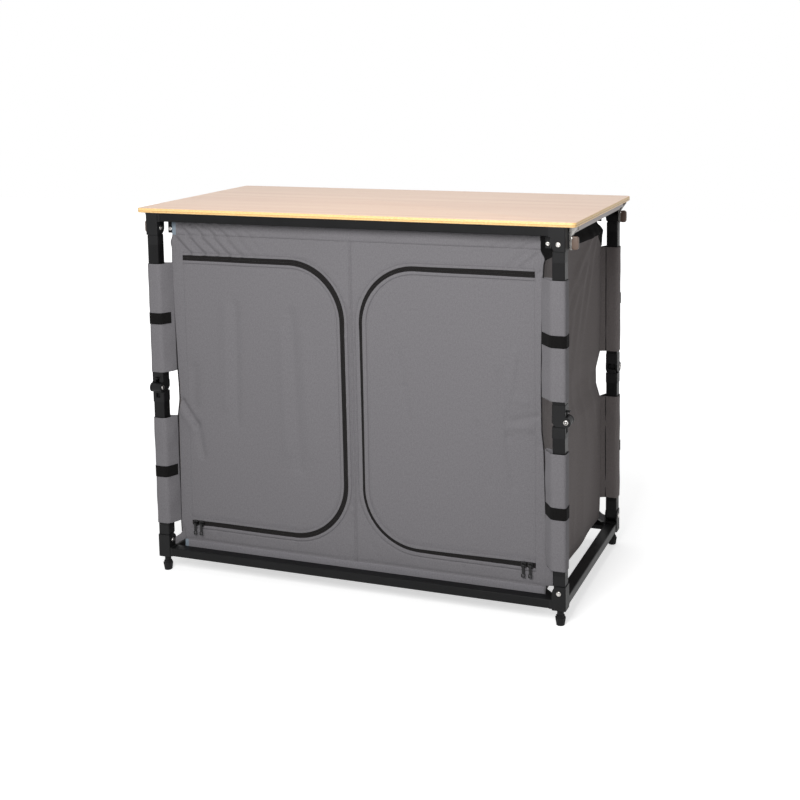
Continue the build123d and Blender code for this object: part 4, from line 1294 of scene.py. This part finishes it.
def dome(radius, rise, rim=0.4):
    """A rivet head's profile from its seat to its crown: a short rim, then a curve whose radius is R cos a
    at a height rise sin a.
    """
    a = np.linspace(0, np.pi / 2, 7)
    along = np.concatenate([[0], rim + (rise - rim) * np.sin(a)])
    around = np.concatenate([[radius], radius * np.cos(a)])
    return np.stack([along, around], axis=-1)


def riveted(half_length, shank_radius, head_radius, head_rise):
    """A rivet along x: the same dome at both ends of a shank."""
    head = dome(head_radius, head_rise)
    right = np.concatenate([[[half_length, shank_radius]], head + np.array([half_length, 0])])
    return turned_on_x(np.concatenate([right[::-1] * np.array([-1, 1]), right]))


def placed(shape, centre, axis):
    """A shape whose x axis is turned to an axis, level with the ground, and moved to a centre."""
    axis = np.array(axis, float)
    up = np.array([0.0, 0.0, 1.0])
    return copies(shape, np.array([centre], float), np.array([[axis, np.cross(up, axis), up]]))


bright_steel = speckled(
    "worn_bright_steel", "8E8B88", "E6E3DF", grain_mm=1.2, bump_mm=0.03, patch_mm=2.6, roughness=0.32,
    Metallic=1.0
)
corner_rivet = riveted(14.0, 3.9, 5.0, 2.1)
pin_axis = {"fl": (1, 0, 0), "br": (1, 0, 0), "bl": (0, 1, 0), "fr": (0, 1, 0)}
base_pin_z, top_pin_z = 68.0, 757.0
for label, body, z in (("base", "base", base_pin_z), ("top", "top_frame", top_pin_z)):
    shapes = [
        placed(corner_rivet, (side * leg_x, facing * leg_y, z), pin_axis[corner])
        for corner, (side, facing) in corners_of.items()
    ]
    make(
        f"rivets_{label}", stacked(shapes), bright_steel, body, "bright_rivet", replaces=[f"{label}_pins"],
        weld=True,
    )

knee_head = turned_on_x(np.concatenate([[[0, 0]], dome(5.15, 2.2)]))
knee_z, knee_half, knee_offset = 412.5, 13.25, 14.5
for corner, (side, facing) in corners_of.items():
    axis = np.array(pin_axis[corner], float)
    centre = np.array([side * leg_x, facing * leg_y, knee_z])
    centre += knee_offset * (np.array([0, facing, 0]) if axis[0] else np.array([side, 0, 0]))
    shapes = [placed(knee_head, centre + way * knee_half * axis, way * axis) for way in (1, -1)]
    make(
        f"rivets_knee_{corner}", stacked(shapes), bright_steel, f"upper_leg_{corner}", "bright_rivet",
        weld=True,
    )

screw_head = turned_on_x(
    [(-0.2, 0), (-0.2, 4.2), (1.3, 4.3), (1.8, 3.9), (2.15, 2.9), (2.2, 1.4), (1.7, 1.1), (1.7, 0)]
)
screw_x, screw_y, screw_z = 417, 210.1, 754.0
shapes = [
    placed(screw_head, (side * screw_x, facing * screw_y, screw_z), (0, facing, 0))
    for side, facing in corners_of.values()
]
make("hanger_screws", stacked(shapes), bright_steel, "top_frame", "bright_rivet", weld=True)

# %% [markdown]
# ## Clip levers
# The worktop is held at each end by two thumb levers of brown nylon: a rounded tongue with eased faces.

# %% Clip levers
lever_inset = 1.6


def lever(side, facing):
    """A tongue in the x, z plane: its outline is a rounded rectangle and its thickness along y is eased at
    both faces.
    """
    low, high = span(f"clip_lever_{'f' if facing < 0 else 'b'}{'l' if side < 0 else 'r'}")
    outline, normals = rounded_rectangle(
        (high[0] - low[0]) / 2 - lever_inset, (high[2] - low[2]) / 2 + 0.8, 5.5, 8
    )
    centre = (low + high) / 2
    (points, quads), caps = slab(outline, normals, low[1], high[1], 1.8, 5)
    points = np.stack([points[:, 0] + centre[0], points[:, 2], points[:, 1] + centre[2]], axis=-1)
    return (points, quads[:, ::-1]), [cap[::-1] for cap in caps]


for corner, (side, facing) in corners_of.items():
    shape, caps = lever(side, facing)
    node = f"clip_lever_{corner}"
    make(f"thumb_lever_{corner}", shape, brown_nylon, node, "clip_lever", caps=caps, replaces=[node])

# %% [markdown]
# ## Battens and brackets
# An aluminium batten is screwed under each end of the board. Its section is stepped: only the upper part
# comes out to the edge. Beside it a steel bracket of two bent cheeks carries each lever on a small pin.
# Both are a flat outline pushed through along Y, with their edges broken by a small bevel.

# %% Battens and brackets
def pushed(outline, low, high):
    """A prism: an anticlockwise outline in (x, z) at y = low and again at y = high, joined all round and
    closed.
    """
    count = len(outline)
    rings = [np.insert(np.array(outline, float), 1, y, axis=1) for y in (low, high)]
    caps = [list(range(count)), list(range(count, 2 * count))[::-1]]
    return (np.concatenate(rings), grid_quads(2, count, closed=True)[:, ::-1]), caps


def mirrored(outline, side):
    """An outline on one side of the board; the left one is turned over and its order reversed."""
    return [(side * x, z) for x, z in outline][::side]


def eased(piece, width):
    """Breaks a piece's edges with a two-step bevel of a width in millimetres."""
    bevel = piece.modifiers.new("broken edges", "BEVEL")
    bevel.width = width * MM
    bevel.segments = 2
    bevel.limit_method = "ANGLE"
    return piece


batten_outline = [(462, 774.5), (466.5, 774.5), (466.5, 781), (474, 781), (474, 789.9), (462, 789.9)]
cheek_outline = [(460.3, 744), (465, 744), (465, 770), (476.5, 786), (476.5, 789.9), (460.3, 789.9)]
flange_outline = [(460.3, 788.6), (476.5, 788.6), (476.5, 789.9), (460.3, 789.9)]
web_outline = [(460.2, 772), (460.9, 772), (460.9, 788.6), (460.2, 788.6)]
cheek_gaps = [(204.9, 206.1), (213.9, 215.1)]
batten_shapes, batten_caps, bracket_shapes, bracket_caps = [], [], [], []


def gather(shapes, caps_of, shape, caps=()):
    """Adds a shape to a list of shapes, and its closing faces with their points counted on from those
    before it.
    """
    before = sum(len(points) for points, _ in shapes)
    caps_of += [[before + number for number in cap] for cap in caps]
    shapes.append(shape)


for side in (-1, 1):
    gather(batten_shapes, batten_caps, *pushed(mirrored(batten_outline, side), -195.0, 195.0))
for side, facing in corners_of.values():
    for near, far in cheek_gaps:
        low, high = sorted((facing * near, facing * far))
        gather(bracket_shapes, bracket_caps, *pushed(mirrored(cheek_outline, side), low, high))
    low, high = sorted((facing * cheek_gaps[0][1], facing * cheek_gaps[1][0]))
    for outline in (flange_outline, web_outline):
        gather(bracket_shapes, bracket_caps, *pushed(mirrored(outline, side), low, high))
battens = make(
    "board_battens", stacked(batten_shapes), drawn_aluminium, "worktop", "aluminium_batten",
    smooth=False, caps=batten_caps, replaces=["worktop_battens"],
)
eased(battens, 0.5)
brackets = make(
    "lever_brackets", stacked(bracket_shapes), zinc_steel, "worktop", "clip_steel",
    smooth=False, caps=bracket_caps, replaces=["clip_brackets"],
)
eased(brackets, 0.3)
pivot_pin = riveted(5.2, 1.5, 2.3, 0.8)
lever_pin_x, lever_pin_y, lever_pin_z = 464.6, 210.0, 767.0
shapes = [
    placed(pivot_pin, (side * lever_pin_x, facing * lever_pin_y, lever_pin_z), (0, facing, 0))
    for side, facing in corners_of.values()
]
make("lever_pins", stacked(shapes), bright_steel, "worktop", "clip_steel", weld=True)

# %% [markdown]
# ## Finishes on the frame's own parts
# Tubes, moulded corners, knees, feet, hangers and zip sliders keep their CAD shapes. Each only gets its
# finish.

# %% Frame finishes
def dressed(node, material):
    """Puts one material in every slot of a CAD node."""
    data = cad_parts[node].data
    if not data.materials:
        data.materials.append(material)
    for number in range(len(data.materials)):
        data.materials[number] = material
    return node


finishes = {
    "base_rails": tube_black,
    "top_rails": tube_black,
    "base_corners": moulded_nylon,
    "top_corners": moulded_nylon,
    "cabinet_hangers": moulded_nylon,
}
for corner in corners_of:
    finishes[f"foot_{corner}"] = foot_rubber
    finishes[f"knee_latch_{corner}"] = moulded_nylon
    for part in ("lower", "upper"):
        finishes[f"{part}_tube_{corner}"] = tube_black
        finishes[f"{part}_fittings_{corner}"] = moulded_nylon
for kind in ("slider", "puller"):
    for name in sides:
        for half in ("inner", "outer"):
            finishes[f"{kind}_{name}_{half}"] = zip_metal
print("dressed", len([dressed(node, material) for node, material in finishes.items()]), "frame parts")

# %% [markdown]
# ## What each sheet was cut from
# The flat sizes that the corner tabs, the black strips behind them and the leg flaps were cut to are
# worked out here, and nothing more is done with them. The front's cut has two openings, each smaller than
# its door by the strip turned under along the zip.

# %% Sheets
tab_flat, raised_tab_flat, webbing_and_shade_flat = (0.026, 0.020), (0.026, 0.036), (0.024, 0.0125)
for tab in tabs:
    flat = tab_flat if tab.name.startswith("corner_tab") else webbing_and_shade_flat
    flat = raised_tab_flat if tab.name == "corner_tab_fr" else flat
for flap, strap, around, strap_around, cords in flaps:
    _, part, corner = flap.name.split("_")
    flat = (around, flap_tall * MM)

# %% [markdown]
# ## Floor, light and background
# The photo is a catalogue one: a white background, a soft light from above and in front, a little more from
# the left, and only a faint shadow round the feet. The camera sees the world as white, and everything else
# sees a softer grey one, so the colours come out about as written.

# %% Stage
floor_mesh = bpy.data.meshes.new("floor")
half = 6.0
floor_mesh.from_pydata(
    [(-half, -half, 0), (half, -half, 0), (half, half, 0), (-half, half, 0)], [], [(0, 1, 2, 3)]
)
floor = bpy.data.objects.new("floor", floor_mesh)
bpy.context.scene.collection.objects.link(floor)
paper, tree, shader = finish(
    "white_paper", Base_Color=linear("E2E2E2"), Roughness=1.0, Specular_IOR_Level=0.0
)
floor_mesh.materials.append(paper)


def seen_directly(tree):
    """1 for what the camera, a reflection or a clear surface sees, and 0 for the light that falls on
    things.
    """
    ray = add(tree, "LightPath").outputs
    either = value(tree, "MAXIMUM", ray["Is Camera Ray"], ray["Is Glossy Ray"])
    return value(tree, "MAXIMUM", either, ray["Is Transmission Ray"])


# near the object the paper keeps its own light and shadow, with enough white added to reach white where it is
# fully lit; further out, where the lamps don't reach, it is plain white
place = add(tree, "TexCoord").outputs["Object"]
distance = add(tree, "VectorMath", {0: place}, operation="LENGTH").outputs["Value"]
whiteness = add(
    tree, "MapRange", {"Value": distance, "From Min": 0.75, "From Max": 1.9, "To Min": 0.62, "To Max": 1.0}
).outputs["Result"]
strength = value(tree, "MULTIPLY", whiteness, seen_directly(tree))
white = add(tree, "Emission", {"Color": (1.0, 1.0, 1.0, 1.0), "Strength": strength}).outputs["Emission"]
both = add(tree, "AddShader", {0: shader.outputs["BSDF"], 1: white}).outputs["Shader"]
tree.links.new(both, tree.nodes["Material Output"].inputs["Surface"])

world = bpy.data.worlds.new("studio")
bpy.context.scene.world = world
world.use_nodes = True
tree = world.node_tree
background = tree.nodes["Background"]
level = add(tree, "MapRange", {"Value": seen_directly(tree), "To Min": 0.31, "To Max": 1.0})
tree.links.new(level.outputs["Result"], background.inputs["Strength"])
background.inputs["Color"].default_value = (1.0, 1.0, 1.0, 1.0)


def panel_light(name, place, target, size, watts):
    """A square area lamp at a place, aimed at a target."""
    data = bpy.data.lights.new(name, "AREA")
    data.shape = "SQUARE"
    data.size = size
    data.energy = watts
    lamp = bpy.data.objects.new(name, data)
    lamp.location = place
    lamp.rotation_euler = (Vector(target) - Vector(place)).to_track_quat("-Z", "Y").to_euler()
    bpy.context.scene.collection.objects.link(lamp)
    return lamp


panel_light("overhead", (0.1, 0.1, 2.8), (0.0, 0.0, 0.6), 1.6, 17)
panel_light("front", (0.25, -1.9, 1.5), (0.1, 0.0, 0.8), 0.8, 34)
bpy.context.scene.view_settings.view_transform = "Standard"
